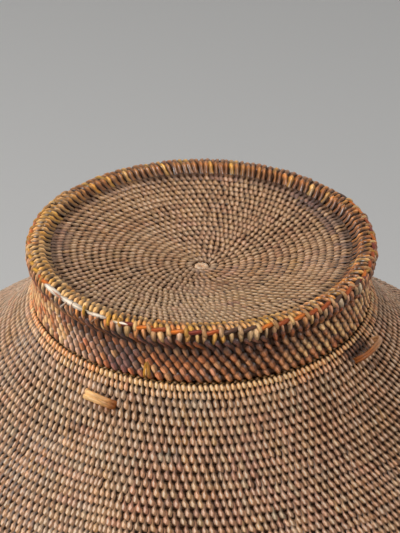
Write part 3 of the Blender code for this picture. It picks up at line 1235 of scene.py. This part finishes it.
@dataclass
class BasketBody:
    """The round body: sewn rows from the seam under the lid to the middle of the bottom.

    Its parts end where the solids' ribs do, which lie a little closer than the sewn rows.
    """

    rib: float = 4.2 * MM
    ribs: tuple[int, ...] = (2, 22, 18, 14)
    seam_height: float = 256 * MM
    belly_height: float = 116 * MM
    belly_radius: float = 192 * MM
    seam_radius: float = 92 * MM
    base_radius: float = 112 * MM
    base_height: float = 4.5 * MM
    base_kick: float = 3.5 * MM
    knot_radius: float = 4.4 * MM
    knot_height: float = 10.3 * MM
    lower_share: float = 0.54
    stitch: float = 3.6 * MM
    top_stitch: float = 2.8 * MM
    shade: float = 0.93
    # The seam row is made lighter, partly as its own paler colour and partly as painted light
    # against the shade under the lid's edge.
    top_tone_and_light: float = 1.4
    needle: Needle = field(default_factory=lambda: Needle(11, runs=FEW_STITCHES))

    @functools.cached_property
    def outline(self) -> Outline:
        """The body's outer line.

        Returns:
            The outline from the seam, over the belly, to the middle of the bottom.
        """
        shoulder = (
            (0.0, 1.0), (0.117, 0.883), (0.253, 0.776), (0.405, 0.681), (0.57, 0.599),
            (0.70, 0.528), (0.81, 0.446), (0.90, 0.349), (0.963, 0.235), (0.994, 0.112),
        )
        lower = (
            (1.0, 1.0), (0.975, 0.82), (0.906, 0.643), (0.788, 0.464), (0.625, 0.304),
            (0.425, 0.161), (0.225, 0.060), (0.08, 0.010), (0.0, 0.0),
        )
        bottom = ((0.94, 0.0), (0.82, 0.14), (0.6, 0.5), (0.3, 0.88))
        wide = self.belly_radius - self.seam_radius
        tall = self.seam_height - self.belly_height
        corners = [(self.seam_radius + wide * x, self.belly_height + tall * y) for x, y in shoulder]
        wide = self.belly_radius - self.base_radius
        tall = self.belly_height - self.base_height
        corners += [(self.base_radius + wide * x, self.base_height + tall * y) for x, y in lower]
        wide, tall = self.base_radius, self.base_kick
        corners += [(wide * x, self.base_height + tall * y) for x, y in bottom]
        corners.append((self.knot_radius, self.base_height + tall))
        return Outline(tuple(corners))

    def build(self) -> None:
        """Builds the rows of every part of the body, from the top down."""
        edges = [0.0, *(np.cumsum(self.ribs) * self.rib)]
        heel_end = self.outline.lowest()
        heel_start = edges[-1] + (heel_end - edges[-1]) * self.lower_share
        edges += [heel_start, heel_end, self.outline.length]
        last = None
        for (node, rows), start, end in zip(BODY_ROWS.items(), edges, edges[1:]):
            top = node == "shoulder_top_coil"
            CoilRows(node + "_coil", self.outline, start, end, rows).fit(BODY, node)
            band = SewnBand(
                node + "_stitches", self.outline, start, end, rows, self.needle,
                SHOULDER_BLEND, BODY_PATCHES.get(node, ()),
                pitch=self.top_stitch if top else self.stitch,
                shade=self.top_tone_and_light if top else self.shade,
                reach=1.80, fill=0.80, lean=3, offset=0.0, skew=0.5, loose=1.4,
            )
            last = band.fit(Finish.SEWING, BODY, node, last=last)


@dataclass
class Foot:
    """The thick coil that the basket stands on, wrapped between two angles round its section."""

    centre: tuple[float, float] = (112 * MM, 2.1 * MM)
    size: tuple[float, float] = (4.25 * MM, 2.1 * MM)
    wrap: tuple[float, float] = (0.4 * MM, 0.45 * MM)
    wrapped: tuple[float, float] = (175, -80)
    stitch: float = 3.9 * MM

    def build(self) -> None:
        """Builds the foot's wraps and the coil in them."""
        size = (self.size[0] - self.wrap[0], self.size[1] - self.wrap[1])
        path = Outline(tuple(arc(*self.centre, size, *self.wrapped)))
        SewnBand(
            "foot_ring_wraps", path, 0, path.length, 1, Needle(12), SHOULDER_BLEND,
            reach=1.0, fill=0.9, lean=12, pitch=self.stitch, splint=WRAP,
        ).fit(Finish.SEWING, BODY, "foot_ring")
        coil = solid_ring("foot_ring_coil", self.centre, size, Dye.BROWN)
        hand_over(coil, Finish.COIL, BODY, "foot_ring")


@dataclass
class StartKnot:
    """The first small ring of a coil, wrapped from its hole outwards, named as its CAD node."""

    name: str
    body: str
    height: float
    upward: bool
    radius: float = 2.5 * MM
    size: tuple[float, float] = (1.75 * MM, 1.9 * MM)
    wraps: int = 10
    seed: int = 31

    def build(self) -> None:
        """Builds the knot's wraps and the ring in them."""
        centre = (self.radius, self.height)
        wrapped = (160, 15) if self.upward else (-15, -160)
        path = Outline(tuple(arc(*centre, self.size, *wrapped)))
        SewnBand(
            self.name + "_wraps", path, 0, path.length, 1, Needle(self.seed), KNOT_BLEND,
            reach=1.2, fill=1.05, lean=14, pitch=math.tau * self.radius / self.wraps, splint=WRAP,
        ).fit(Finish.SEWING, self.body, self.name)
        core = solid_ring(self.name + "_ring", centre, self.size, Dye.TAN)
        hand_over(core, Finish.SEWING, self.body, self.name)


@dataclass
class Neck:
    """The upright ring that the lid fits over, and the coil on it, wrapped between two angles."""

    outer: float = 85.2 * MM
    wall: float = 4.2 * MM
    foot: float = 252.6 * MM
    top: float = 268.6 * MM
    rows: int = 4
    coil_sunk: float = 0.7 * MM
    stitch_sunk: float = 0.5 * MM
    rim_height: float = 271.3 * MM
    rim_size: tuple[float, float] = (2.1 * MM, 2.4 * MM)
    wrap: float = 0.45 * MM
    wrapped: tuple[float, float] = (230, -50)
    needle: Needle = field(default_factory=lambda: Needle(13))

    def build(self) -> None:
        """Builds the collar's rows and the wrapped coil on it."""
        heights = (self.top, (self.top + self.foot) / 2, self.foot)
        path = Outline(tuple((self.outer, height) for height in heights))
        CoilRows(
            "neck_collar_coil", path, 0, path.length, self.rows, self.wall, self.coil_sunk
        ).fit(BODY, "neck_collar")
        SewnBand(
            "neck_collar_stitches", path, 0, path.length, self.rows, self.needle,
            SHOULDER_BLEND, sink=self.stitch_sunk, reach=1.3,
        ).fit(Finish.SEWING, BODY, "neck_collar")
        centre = (self.outer - self.wall / 2, self.rim_height)
        size = (self.rim_size[0] - self.wrap, self.rim_size[1] - self.wrap)
        core = solid_ring("neck_rim_core", centre, size, Dye.BROWN)
        hand_over(core, Finish.COIL, BODY, "neck_rim_coil")
        path = Outline(tuple(arc(*centre, size, *self.wrapped)))
        SewnBand(
            "neck_rim_wraps", path, 0, path.length, 1, self.needle,
            {Dye.OCHRE: 3, Dye.TAN: 3, Dye.GOLD: 1}, reach=1.0, fill=0.9, lean=14, splint=WRAP,
        ).fit(Finish.RIM, BODY, "neck_rim_coil")


@dataclass
class Shelf:
    """The flat row that the lid sits on, between the neck and the shoulder."""

    inner: float = 85.6 * MM
    outer: float = 90.6 * MM
    height: float = 256.0 * MM
    thick: float = 4.4 * MM
    coil_sunk: float = 0.8 * MM
    stitch_sunk: float = 0.5 * MM

    def build(self) -> None:
        """Builds the shelf's coil and its stitches."""
        radii = (self.inner, (self.inner + self.outer) / 2, self.outer)
        path = Outline(tuple((radius, self.height) for radius in radii))
        CoilRows("shelf_coil", path, 0, path.length, 1, self.thick, self.coil_sunk).fit(
            BODY, "shoulder_top_coil"
        )
        SewnBand(
            "shelf_stitches", path, 0, path.length, 1, Needle(14), {Dye.OCHRE: 3, Dye.TAN: 2},
            sink=self.stitch_sunk, reach=1.15,
        ).fit(Finish.SEWING, BODY, "shoulder_top_coil")


# Lid


@dataclass
class LidTop:
    """The dished disc, coiled from the knot in its middle outwards."""

    disc_radius: float = 81.9 * MM
    knot_radius: float = 4.4 * MM
    rim_height: float = 285.7 * MM
    depth: float = 13.6 * MM
    wall: float = 4.4 * MM
    row: float = 4.0 * MM
    stitch: float = 3.3 * MM
    knot_drop: float = 2 * MM
    needle: Needle = field(default_factory=lambda: Needle(21, runs=FEW_STITCHES))

    def build(self) -> None:
        """Builds the disc's rows and the knot in its middle."""
        dish = ((0.25, 0.88), (0.5, 0.63), (0.75, 0.32), (0.9, 0.13), (1.0, 0.0))
        floor = self.rim_height - self.depth
        corners = [(self.disc_radius * x, self.rim_height - self.depth * y) for x, y in dish]
        path = Outline(((self.knot_radius, floor), *corners))
        rows = round(path.length / self.row)
        outer = (rows - 2, rows - 1)
        CoilRows("lid_top_coil", path, 0, path.length, rows, self.wall).fit(LID, "lid_top")
        SewnBand(
            "lid_top_stitches", path, 0, path.length, rows, self.needle,
            {Dye.TAN: 5, Dye.BEIGE: 2.6, Dye.OCHRE: 1.4, Dye.ROSE: 1.2, Dye.BROWN: 1.8},
            (
                Patch(Dye.PURPLE, (rows - 1, rows - 1), (30, 150), 0.45, 0.8, 20),
                Patch(Dye.PURPLE, outer, (-10, 50), 0.6, 0.8, 14),
                Patch(Dye.PURPLE, outer, (160, 195), 0.5, 0.7, 14),
                Patch(Dye.GREY, (0, 1), ALL_ROUND, 0.4, 0.8),
                # Painted light: the outer rows at the front of the disc are made lighter.
                Patch(Dye.STRAW, (9, rows - 1), (-140, -40), 0.35, 0.8, 30),
            ),
            pitch=self.stitch, tip_up=True, fill=0.86, reach=1.80, splint=FLAT_GRAIN, offset=0.0,
            skew=0.5, shade=0.72, loose=1.7,
        ).fit(Finish.LID_SEWING, LID, "lid_top")
        StartKnot("lid_start_knot", LID, floor - self.knot_drop, True).build()


ROLL_CENTRE = (88.2 * MM, 283.3 * MM)
ROLL_RADIUS = 6.0 * MM
# The lid's side line starts on the roll, this many degrees up from straight out.
SIDE_START = 75


def on_roll(angle: float) -> float:
    """Distance down the lid's side to an angle on the roll, in degrees up from straight out."""
    return ROLL_RADIUS * math.radians(SIDE_START - angle)


@dataclass
class LidWall:
    """The standing wall of the cap, from the underside of its rim down to its lowest row.

    Its long stitches start at an angle on the roll, in degrees up from straight out.
    """

    top: float = 275.2 * MM
    rows: int = 5
    wall: float = 4.6 * MM
    stitch: float = 4.9 * MM
    coil_sunk: float = 0.6 * MM
    coil_above: float = 2 * MM
    end_gap: float = 0.2 * MM
    long_angle: float = 6.0
    long_reach: float = 2.6 * MM
    tie_height: float = 262.3 * MM
    needle: Needle = field(default_factory=lambda: Needle(22, 3.0, FEW_STITCHES))

    @functools.cached_property
    def side(self) -> Outline:
        """Outer line of the lid, down from the roll's top.

        Returns:
            The outline over the roll's outer side and the wall to the seam.
        """
        down = (
            (90.1, 276.4), (90.0, 274.4), (90.6, 271.8), (90.8, 268.0), (90.9, 263.5),
            (91.5, 259.6), (91.9, 257.9), (91.7, 256.6),
        )
        corners = arc(*ROLL_CENTRE, (ROLL_RADIUS, ROLL_RADIUS), SIDE_START, -55)
        corners += [(radius * MM, height * MM) for radius, height in down]
        return Outline(tuple(corners))

    def along(self, height: float) -> float:
        """Distance along the side to a height on the wall."""
        table = self.side.table
        return float(np.interp(-height, -table[:, 2], table[:, 0]))

    def build(self) -> None:
        """Builds the wall's rows, the long stitches over them and the tie."""
        start, end = self.along(self.top), self.side.length - self.end_gap
        CoilRows(
            "lid_wall_coil", self.side, start - self.coil_above, end, self.rows, self.wall,
            self.coil_sunk,
        ).fit(LID, "lid_wall", "lid_edge_coil")
        # The long stitches' dark dyes are partly their own colour and partly painted shade under
        # the roll.
        last = SewnBand(
            "lid_wall_long_stitches", self.side, on_roll(self.long_angle),
            start + self.long_reach, 1, self.needle,
            {Dye.PURPLE: 2, Dye.DARK: 2, Dye.BROWN: 3, Dye.RUST: 1},
            (
                Patch(Dye.TAN, (0, 0), (-195, -140), 0.7, 0.8, 14),
                Patch(Dye.PURPLE, (0, 0), (-136, -88), 0.5, 0.7, 14),
                Patch(Dye.BROWN, (0, 0), (-60, 30), 0.6, 0.7, 14),
            ),
            reach=1.06, fill=0.70, lean=24, pitch=self.stitch, splint=HEAD, shade=0.9, loose=2.0,
        ).fit(Finish.WALL_SEWING, LID, "lid_wall")
        lowest = self.rows - 1
        SewnBand(
            "lid_wall_stitches", self.side, start, end, self.rows, self.needle,
            {Dye.BROWN: 5, Dye.RUST: 1.4, Dye.TAN: 1.8, Dye.DARK: 1.0, Dye.ROSE: 1.0},
            (
                Patch(Dye.GREY, (1, lowest), (-146, -128), 0.6, 0.6),
                Patch(Dye.PURPLE, (1, lowest), (-126, -110), 0.7, 0.7),
                Patch(Dye.RED, (lowest, lowest), (-95, -87), 0.8, 0.6),
                Patch(Dye.BROWN, (0, lowest), (-100, 60), 0.45, 0.6),
                # Lighter towards the right, partly the stitches' own colour and partly painted
                # light from that side.
                Patch(Dye.TAN, (0, lowest), (-62, 60), 0.6, 0.5),
                Patch(Dye.STRAW, (0, lowest), (-55, 20), 0.6, 0.45),
                Patch(Dye.ORANGE, (0, lowest), (-190, -146), 0.5, 0.5),
                Patch(Dye.STRAW, (0, lowest), (-190, -140), 0.6, 0.5),
                # Painted shadow: the top rows at the front are darkened under the roll's overhang.
                Patch(Dye.DARK, (0, 1), (-135, -50), 0.5, 0.8),
            ),
            pitch=self.stitch, lean=31, reach=1.8, fill=0.76, splint=FAT_GRAIN, loose=1.6,
            shade=1.18,
        ).fit(Finish.WALL_SEWING, LID, "lid_wall", "lid_edge_coil", last=last)
        self.tie()

    def tie(self) -> None:
        """Lays the ochre splint that is sewn over the lowest rows, left of the front."""
        along = self.along(self.tie_height)
        strips = [
            one_spot(along, -107.2, 7.0, 10.2, 1.9, 0.45, Dye.OCHRE),
            one_spot(along + 0.6 * MM, -108.3, -6.0, 9.2, 1.8, 0.40, Dye.GOLD),
            one_spot(along + 1.6 * MM, -107.9, 1.0, 5.4, 1.2, 0.60, Dye.STRAW),
        ]
        splints = lay("lid_wall_tie_splints", STRAP.model(), self.side, Spots.gather(strips))
        hand_over(splints, Finish.SPLINT, LID, "lid_wall_tie")


# Strips of the pale splint at the left, which has split and broken: turn, lean, length in mm,
# width in mm and dye.
BROKEN_SPLINT = (
    (-146.5, 91.0, 17.0, 3.0, Dye.PALE),
    (-144.0, 86.0, 18.0, 1.2, Dye.ROSE),
    (-136.0, 90.0, 20.0, 2.8, Dye.PALE),
    (-134.5, 94.0, 15.0, 1.2, Dye.BONE),
    (-125.0, 93.0, 13.0, 1.9, Dye.PALE),
    (-126.5, 87.0, 12.0, 1.0, Dye.BONE),
    (-115.8, 92.0, 11.0, 1.6, Dye.PALE),
    (-117.0, 86.0, 9.0, 1.0, Dye.STRAW),
    (-130.3, 20.0, 6.4, 1.8, Dye.GOLD),
    (-120.6, 10.0, 6.8, 2.2, Dye.GOLD),
)
RED_SPLINTS = (Dye.RED, Dye.RUST, Dye.DARK, Dye.ORANGE)
GOLD_SPLINTS = (Dye.ORANGE, Dye.GOLD, Dye.RUST, Dye.OCHRE)
FRONT_SPLINTS = (Dye.RUST, Dye.BROWN, Dye.RED, Dye.OCHRE)
STRAND_TIES = (Dye.OCHRE, Dye.TAN, Dye.BEIGE, Dye.STRAW)


@dataclass
class LidRim:
    """The thick roll round the lid's edge: golden wraps, the splint over them, and their heads.

    Turns are in degrees round the basket. The strand leaves the back bare.
    """

    side: Outline
    core_sunk: float = 0.9 * MM
    wraps: int = 150
    row: float = 5.4 * MM
    first_row: float = 1.2 * MM
    overrun: float = 0.8 * MM
    head_pitch: float = 4.5 * MM
    head_angles: tuple[float, float] = (46.0, -34.0)
    strand_angle: float = 46.0
    strand_turns: tuple[float, float] = (-114.0, 212.0)
    bare_turns: tuple[float, float] = (32.0, 148.0)
    front_turns: tuple[float, float] = (-40.0, 25.0)
    hair_angle: float = 20.0
    hair_turns: tuple[float, ...] = (34.0, 48.0, 62.0)
    stray_turns: tuple[float, float] = (-150.0, 30.0)
    strays: int = 9
    needle: Needle = field(default_factory=lambda: Needle(23, 2.5, (1, 4), 0.1))

    def build(self) -> None:
        """Builds the roll's core, its wraps, heads and strand."""
        core = ROLL_RADIUS - self.core_sunk
        roll = solid_ring("lid_rim_core", ROLL_CENTRE, (core, core), Dye.BROWN, 14)
        hand_over(roll, Finish.COIL, LID, "lid_rim_roll")
        inside = ((79.0 * MM, 285.2 * MM), (81.4 * MM, 285.8 * MM))
        path = Outline((*inside, *arc(*ROLL_CENTRE, (ROLL_RADIUS, ROLL_RADIUS), 148, 30)))
        SewnBand(
            "lid_rim_wraps", path, self.first_row, self.row * 2 + self.overrun, 2, self.needle,
            {Dye.GOLD: 4, Dye.OCHRE: 3, Dye.TAN: 1.5, Dye.ORANGE: 1, Dye.STRAW: 1},
            (
                Patch(Dye.ORANGE, (0, 1), (-60, 70), 0.5, 0.6, 20),
                Patch(Dye.BROWN, (0, 1), (-40, 150), 0.8, 0.75, 20),
                Patch(Dye.STRAW, (0, 1), (170, 240), 0.5, 0.6, 10),
            ),
            pitch=math.tau * ROLL_CENTRE[0] / self.wraps, reach=1.8, fill=0.9, lean=14,
            splint=BEAD, loose=2.2, offset=0.85, skew=0.3, shade=0.93,
        ).fit(Finish.RIM, LID, "lid_rim_roll")
        self.heads()
        self.strand()

    def heads(self) -> None:
        """Sews the heads that come out from under the splints, each in its own colour."""
        start, end = (on_roll(angle) for angle in self.head_angles)
        SewnBand(
            "lid_rim_heads", self.side, start, end, 1, Needle(24, 2.0, (1, 3)),
            {
                Dye.BONE: 2, Dye.GOLD: 2, Dye.GREY: 1.6, Dye.TAN: 2, Dye.OCHRE: 1.4,
                Dye.BROWN: 1.2, Dye.STRAW: 0.8,
            },
            (
                Patch(Dye.ORANGE, (0, 0), (150, 260), 0.5, 0.6, 20),
                Patch(Dye.RUST, (0, 0), (-62, 70), 0.6, 0.7, 14),
            ),
            reach=1.04, fill=0.74, lean=6, pitch=self.head_pitch, splint=HEAD, loose=3.0,
            shade=0.95,
        ).fit(Finish.RIM, LID, "lid_rim_roll")

    def strand(self) -> None:
        """Lays the splints along the roll's upper outer side, with the loose ends near them."""
        along = on_roll(self.strand_angle)
        spots = self.tied_splints(along)
        for turn, lean, length, width, dye in BROKEN_SPLINT:
            spots.append(one_spot(along + 0.3 * MM, turn, lean, length, width, 0.45, dye))
        spots += self.loose_ends(along)
        piece = lay("lid_rim_strand_splints", STRAP.model(), self.side, Spots.gather(spots))
        hand_over(piece, Finish.SPLINT, LID, "lid_rim_strand")

    def tied_splints(self, along: float) -> list[Spots]:
        """Works out the splints end to end, each with the stitch that holds it.

        Args:
            along: Distance down the lid's side at which they lie.

        Returns:
            The spots of the splints and their stitches.
        """
        chance = self.needle.chance
        spots = []
        turn, end = self.strand_turns
        bare_start, bare_end = self.bare_turns
        while turn < end:
            if bare_start < turn < bare_end:
                turn = bare_end
            left = turn >= bare_end
            kind = chance.choice([0, 1, 2, 3], p=[0.3, 0.35, 0.15, 0.2])
            colour = (GOLD_SPLINTS if left else RED_SPLINTS)[kind]
            length = (9.0 if left else 11.0) * chance.normal(1, 0.08)
            lean = 102 + chance.normal(0, 2.5)
            spots.append(one_spot(along, turn, lean, length, 2.5, 0.2, colour))
            if self.front_turns[0] < turn < self.front_turns[1]:
                colour = FRONT_SPLINTS[kind]
                spots.append(one_spot(along + 0.4 * MM, turn + 3, 80, length, 1.7, 0.5, colour))
            lean = chance.normal(18, 12)
            step = (4.4 if left else 5.8) + chance.normal(0, 0.4)
            tie = one_spot(along, turn - step / 2, lean, 6.0, 2.4, 0.55, STRAND_TIES[kind])
            spots.append(tie)
            turn += step
        return spots

    def loose_ends(self, along: float) -> list[Spots]:
        """Works out the hairs at the right and the fine ends that stand off the rim.

        Args:
            along: Distance down the lid's side to the strand.

        Returns:
            The spots of the hairs and the ends.
        """
        chance = self.needle.chance
        spots = []
        for turn in self.hair_turns:
            lean = 90 + chance.normal(0, 1)
            spots.append(one_spot(on_roll(self.hair_angle), turn, lean, 26, 0.6, 0.2, Dye.BEIGE))
        for _ in range(self.strays):
            turn = chance.uniform(*self.stray_turns)
            length = chance.uniform(4, 8)
            dye = (Dye.PALE, Dye.GREY, Dye.STRAW)[chance.randint(3)]
            lean = chance.uniform(-50, 110)
            place = along + chance.uniform(-2, 4) * MM
            spots.append(one_spot(place, turn, lean, length, 0.5, 1.1, dye))
        return spots


# Loops


@dataclass
class StrapLoop:
    """A strap of canes side by side, sewn into the shoulder at both ends, standing as an arch."""

    name: str
    turn: float
    drop: float = 13 * MM
    length: float = 25 * MM
    rise: float = 8.2 * MM
    lean: float = 0.0
    dye: Dye = Dye.OCHRE
    far_dye: Dye = Dye.BROWN
    width: float = 5.2 * MM
    thick: float = 1.4 * MM
    sink: float = 0.8 * MM
    canes: int = 3
    cane_width: float = 1.35
    slot: float = 0.0
    squareness: float = 0.75
    sides: int = 8
    steps: int = 16
    tones: tuple[float, float] = (0.95, 1.05)
    seed: int = 400

    def build(self, outline: Outline) -> None:
        """Builds the loop on the shoulder.

        Args:
            outline: The body's outline.
        """
        radius, height, out, up = (float(value) for value in outline.at(np.array(self.drop)))
        shape = self.cane()
        x, y, z = shape.points.T
        share = y + 0.5
        sag = out * (self.length / 2) ** 2 / (2 * radius)
        across, rise, slope = self.arch(share, -sag - self.sink)
        far = np.clip(share[:, None] * 2 - 0.3, 0, 1)
        dye = self.dye.light * (1 - far) + self.far_dye.light * far
        chance = np.random.RandomState(round(self.turn) + self.seed)
        points, stain, lie = [], [], []
        for strand in range(self.canes):
            off = strand - (self.canes - 1) / 2
            side = off * (1 + self.slot * share**4) + x * self.cane_width
            along = across + slope[:, 1] * z * self.thick
            lift = rise - slope[:, 0] * z * self.thick
            side = side * self.width / self.canes
            points.append(np.stack([along, lift, side, np.ones(len(x))], -1))
            # The alpha is higher on each cane's outer side, which the finish paints with a
            # highlight.
            stain.append(np.column_stack([dye * chance.uniform(*self.tones), z * 0.1 + 0.9]))
            lie.append(np.stack([share * 6 + strand * 3, x + strand], -1))
        flat = Matrix(((0, out, up, radius), (1, 0, 0, 0), (0, up, -out, height), (0, 0, 0, 1)))
        turn = Matrix.Rotation(math.radians(self.turn), 4, "Z")
        tilt = Matrix.Rotation(math.radians(self.lean), 4, "Y")
        world = np.vstack(points) @ np.array(turn @ flat @ tilt).T
        piece = new_piece(
            self.name + "_canes", world[:, :3], shape, self.canes, np.vstack(stain), np.vstack(lie)
        )
        hand_over(piece, Finish.SPLINT, BODY, self.name)

    def arch(self, share: np.ndarray, base: float) -> tuple[np.ndarray, ...]:
        """Works out the strap's line.

        Args:
            share: Places along it, from 0 to 1.
            base: Height of its ends above the shoulder in its middle.

        Returns:
            How far along and how high each place is, and the line's direction there.
        """
        half = self.length / 2 - self.thick / 2
        tall = self.rise - self.thick / 2 - base
        cos, sin = np.cos(math.pi * share), np.sin(math.pi * share)
        slope = np.stack([-sin * half, cos * tall], -1)
        slope /= np.linalg.norm(slope, axis=1)[:, None]
        across = half * np.sign(cos) * np.abs(cos) ** self.squareness
        return across, base + tall * sin.clip(0) ** self.squareness, slope

    def cane(self) -> Shape:
        """Models one straight cane of the strap: a round section extruded step by step.

        Returns:
            The cane, one metre long along Y and about one metre wide and thick.
        """
        bench = Bench().circle(self.sides, 0.5, (0, -0.5, 0))
        bpy.ops.mesh.select_all(action="SELECT")
        for _ in range(self.steps):
            bench.extrude(0, 1 / self.steps, 0)
        return bench.close().take()


# Studio


@dataclass
class Studio:
    """The pale floor, the soft lamps and the camera, which stands where the photograph's did."""

    focus: tuple[float, float, float] = (0.0, 0.0, 0.2833)
    distance: float = 1.184
    elevation: float = 30.2
    lens: float = 148.6
    sensor: float = 36.0
    shift_pixels: tuple[float, float] = (-1.5, -19.3)
    photograph_height: int = 533
    floor_size: float = 14.0
    lamps: tuple[tuple[str, tuple[float, float, float], float, float], ...] = (
        ("top", (-0.3, -0.7, 2.25), 0.3, 16),
        ("left", (-1.8, -0.5, 1.15), 0.3, 13.5),
        ("right", (1.7, -0.9, 0.7), 0.5, 4),
    )
    soft_light: float = 0.12
    background: tuple[float, float, float, float] = (0.86, 0.855, 0.845, 1)

    def build(self) -> None:
        """Sets up the floor, the lamps, the world and the camera."""
        bpy.ops.object.select_all(action="DESELECT")
        bpy.ops.mesh.primitive_plane_add(size=self.floor_size)
        floor = bpy.context.object
        floor.name = "studio_floor"
        floor.data.materials.append(FloorFinish().make())
        for lamp in self.lamps:
            self.lamp(*lamp)
        self.world()
        self.camera()
        bpy.context.scene.view_settings.view_transform = "Standard"

    def lamp(self, name: str, place: tuple[float, float, float], size: float, power: float) -> None:
        """Adds a square soft lamp that faces the basket.

        Args:
            name: Name of the lamp.
            place: Where it hangs.
            size: Width of its square.
            power: Its power in watts.
        """
        data = bpy.data.lights.new(name, "AREA")
        data.shape = "SQUARE"
        data.size = size
        data.energy = power
        self.hang(name, data, Vector(place))

    def camera(self) -> None:
        """Sets the camera where the photograph was taken from."""
        data = bpy.data.cameras.new("camera")
        data.lens = self.lens
        data.sensor_width = self.sensor
        data.shift_x, data.shift_y = (side / self.photograph_height for side in self.shift_pixels)
        rise = math.radians(self.elevation)
        back = Vector((0, -math.cos(rise), math.sin(rise)))
        place = Vector(self.focus) + back * self.distance
        bpy.context.scene.camera = self.hang("camera", data, place)

    def hang(self, name: str, data: bpy.types.ID, place: Vector) -> bpy.types.Object:
        """Hangs a lamp or the camera at a place, facing the basket.

        Args:
            name: Its name.
            data: The lamp's or the camera's settings.
            place: Where it hangs.

        Returns:
            The new object.
        """
        hung = bpy.data.objects.new(name, data)
        hung.location = place
        hung.rotation_euler = (Vector(self.focus) - place).to_track_quat("-Z", "Y").to_euler()
        bpy.context.scene.collection.objects.link(hung)
        return hung

    def world(self) -> None:
        """Lights the scene softly from all sides, with a pale background."""
        bpy.context.scene.world = bpy.data.worlds.new("studio")
        nodes = Nodes(bpy.context.scene.world)
        soft = nodes.tree.nodes["Background"]
        nodes.feed(soft, {"Color": (1, 1, 1, 1), "Strength": self.soft_light})
        pale = nodes.node("ShaderNodeBackground", None, {"Color": self.background})
        rays = nodes.node("ShaderNodeLightPath").outputs
        seen = Signal(nodes, rays["Is Camera Ray"])
        for kind in ("Is Glossy Ray", "Is Transmission Ray"):
            seen = nodes.maths("MAXIMUM", seen, Signal(nodes, rays[kind]))
        lights = {0: seen, 1: soft.outputs[0], 2: pale.outputs[0]}
        mixed = nodes.node("ShaderNodeMixShader", None, lights)
        nodes.end("World Output", {"Surface": mixed.outputs[0]})


def main() -> None:
    """Builds the basket, the lid and the studio in order."""
    logging.basicConfig(level=logging.INFO, format="%(message)s")
    body = BasketBody()
    body.build()
    Shelf().build()
    Foot().build()
    StartKnot("base_start_knot", BODY, body.knot_height, False).build()
    Neck().build()
    LidTop().build()
    wall = LidWall()
    wall.build()
    LidRim(wall.side).build()
    for loop in (
        StrapLoop(
            "loop_front_left", -121, 15.5 * MM, 19.5 * MM, 5.6 * MM, -3, Dye.BROWN, Dye.STRAW,
            width=4.2 * MM, canes=2, slot=0.6,
        ),
        StrapLoop("loop_front_right", -28, 10.5 * MM, dye=Dye.BEIGE, width=2.8 * MM, canes=2),
        StrapLoop("loop_back_right", 60),
        StrapLoop("loop_back_left", 150),
    ):
        loop.build(body.outline)
    Studio().build()


if __name__ == "__main__":
    main()
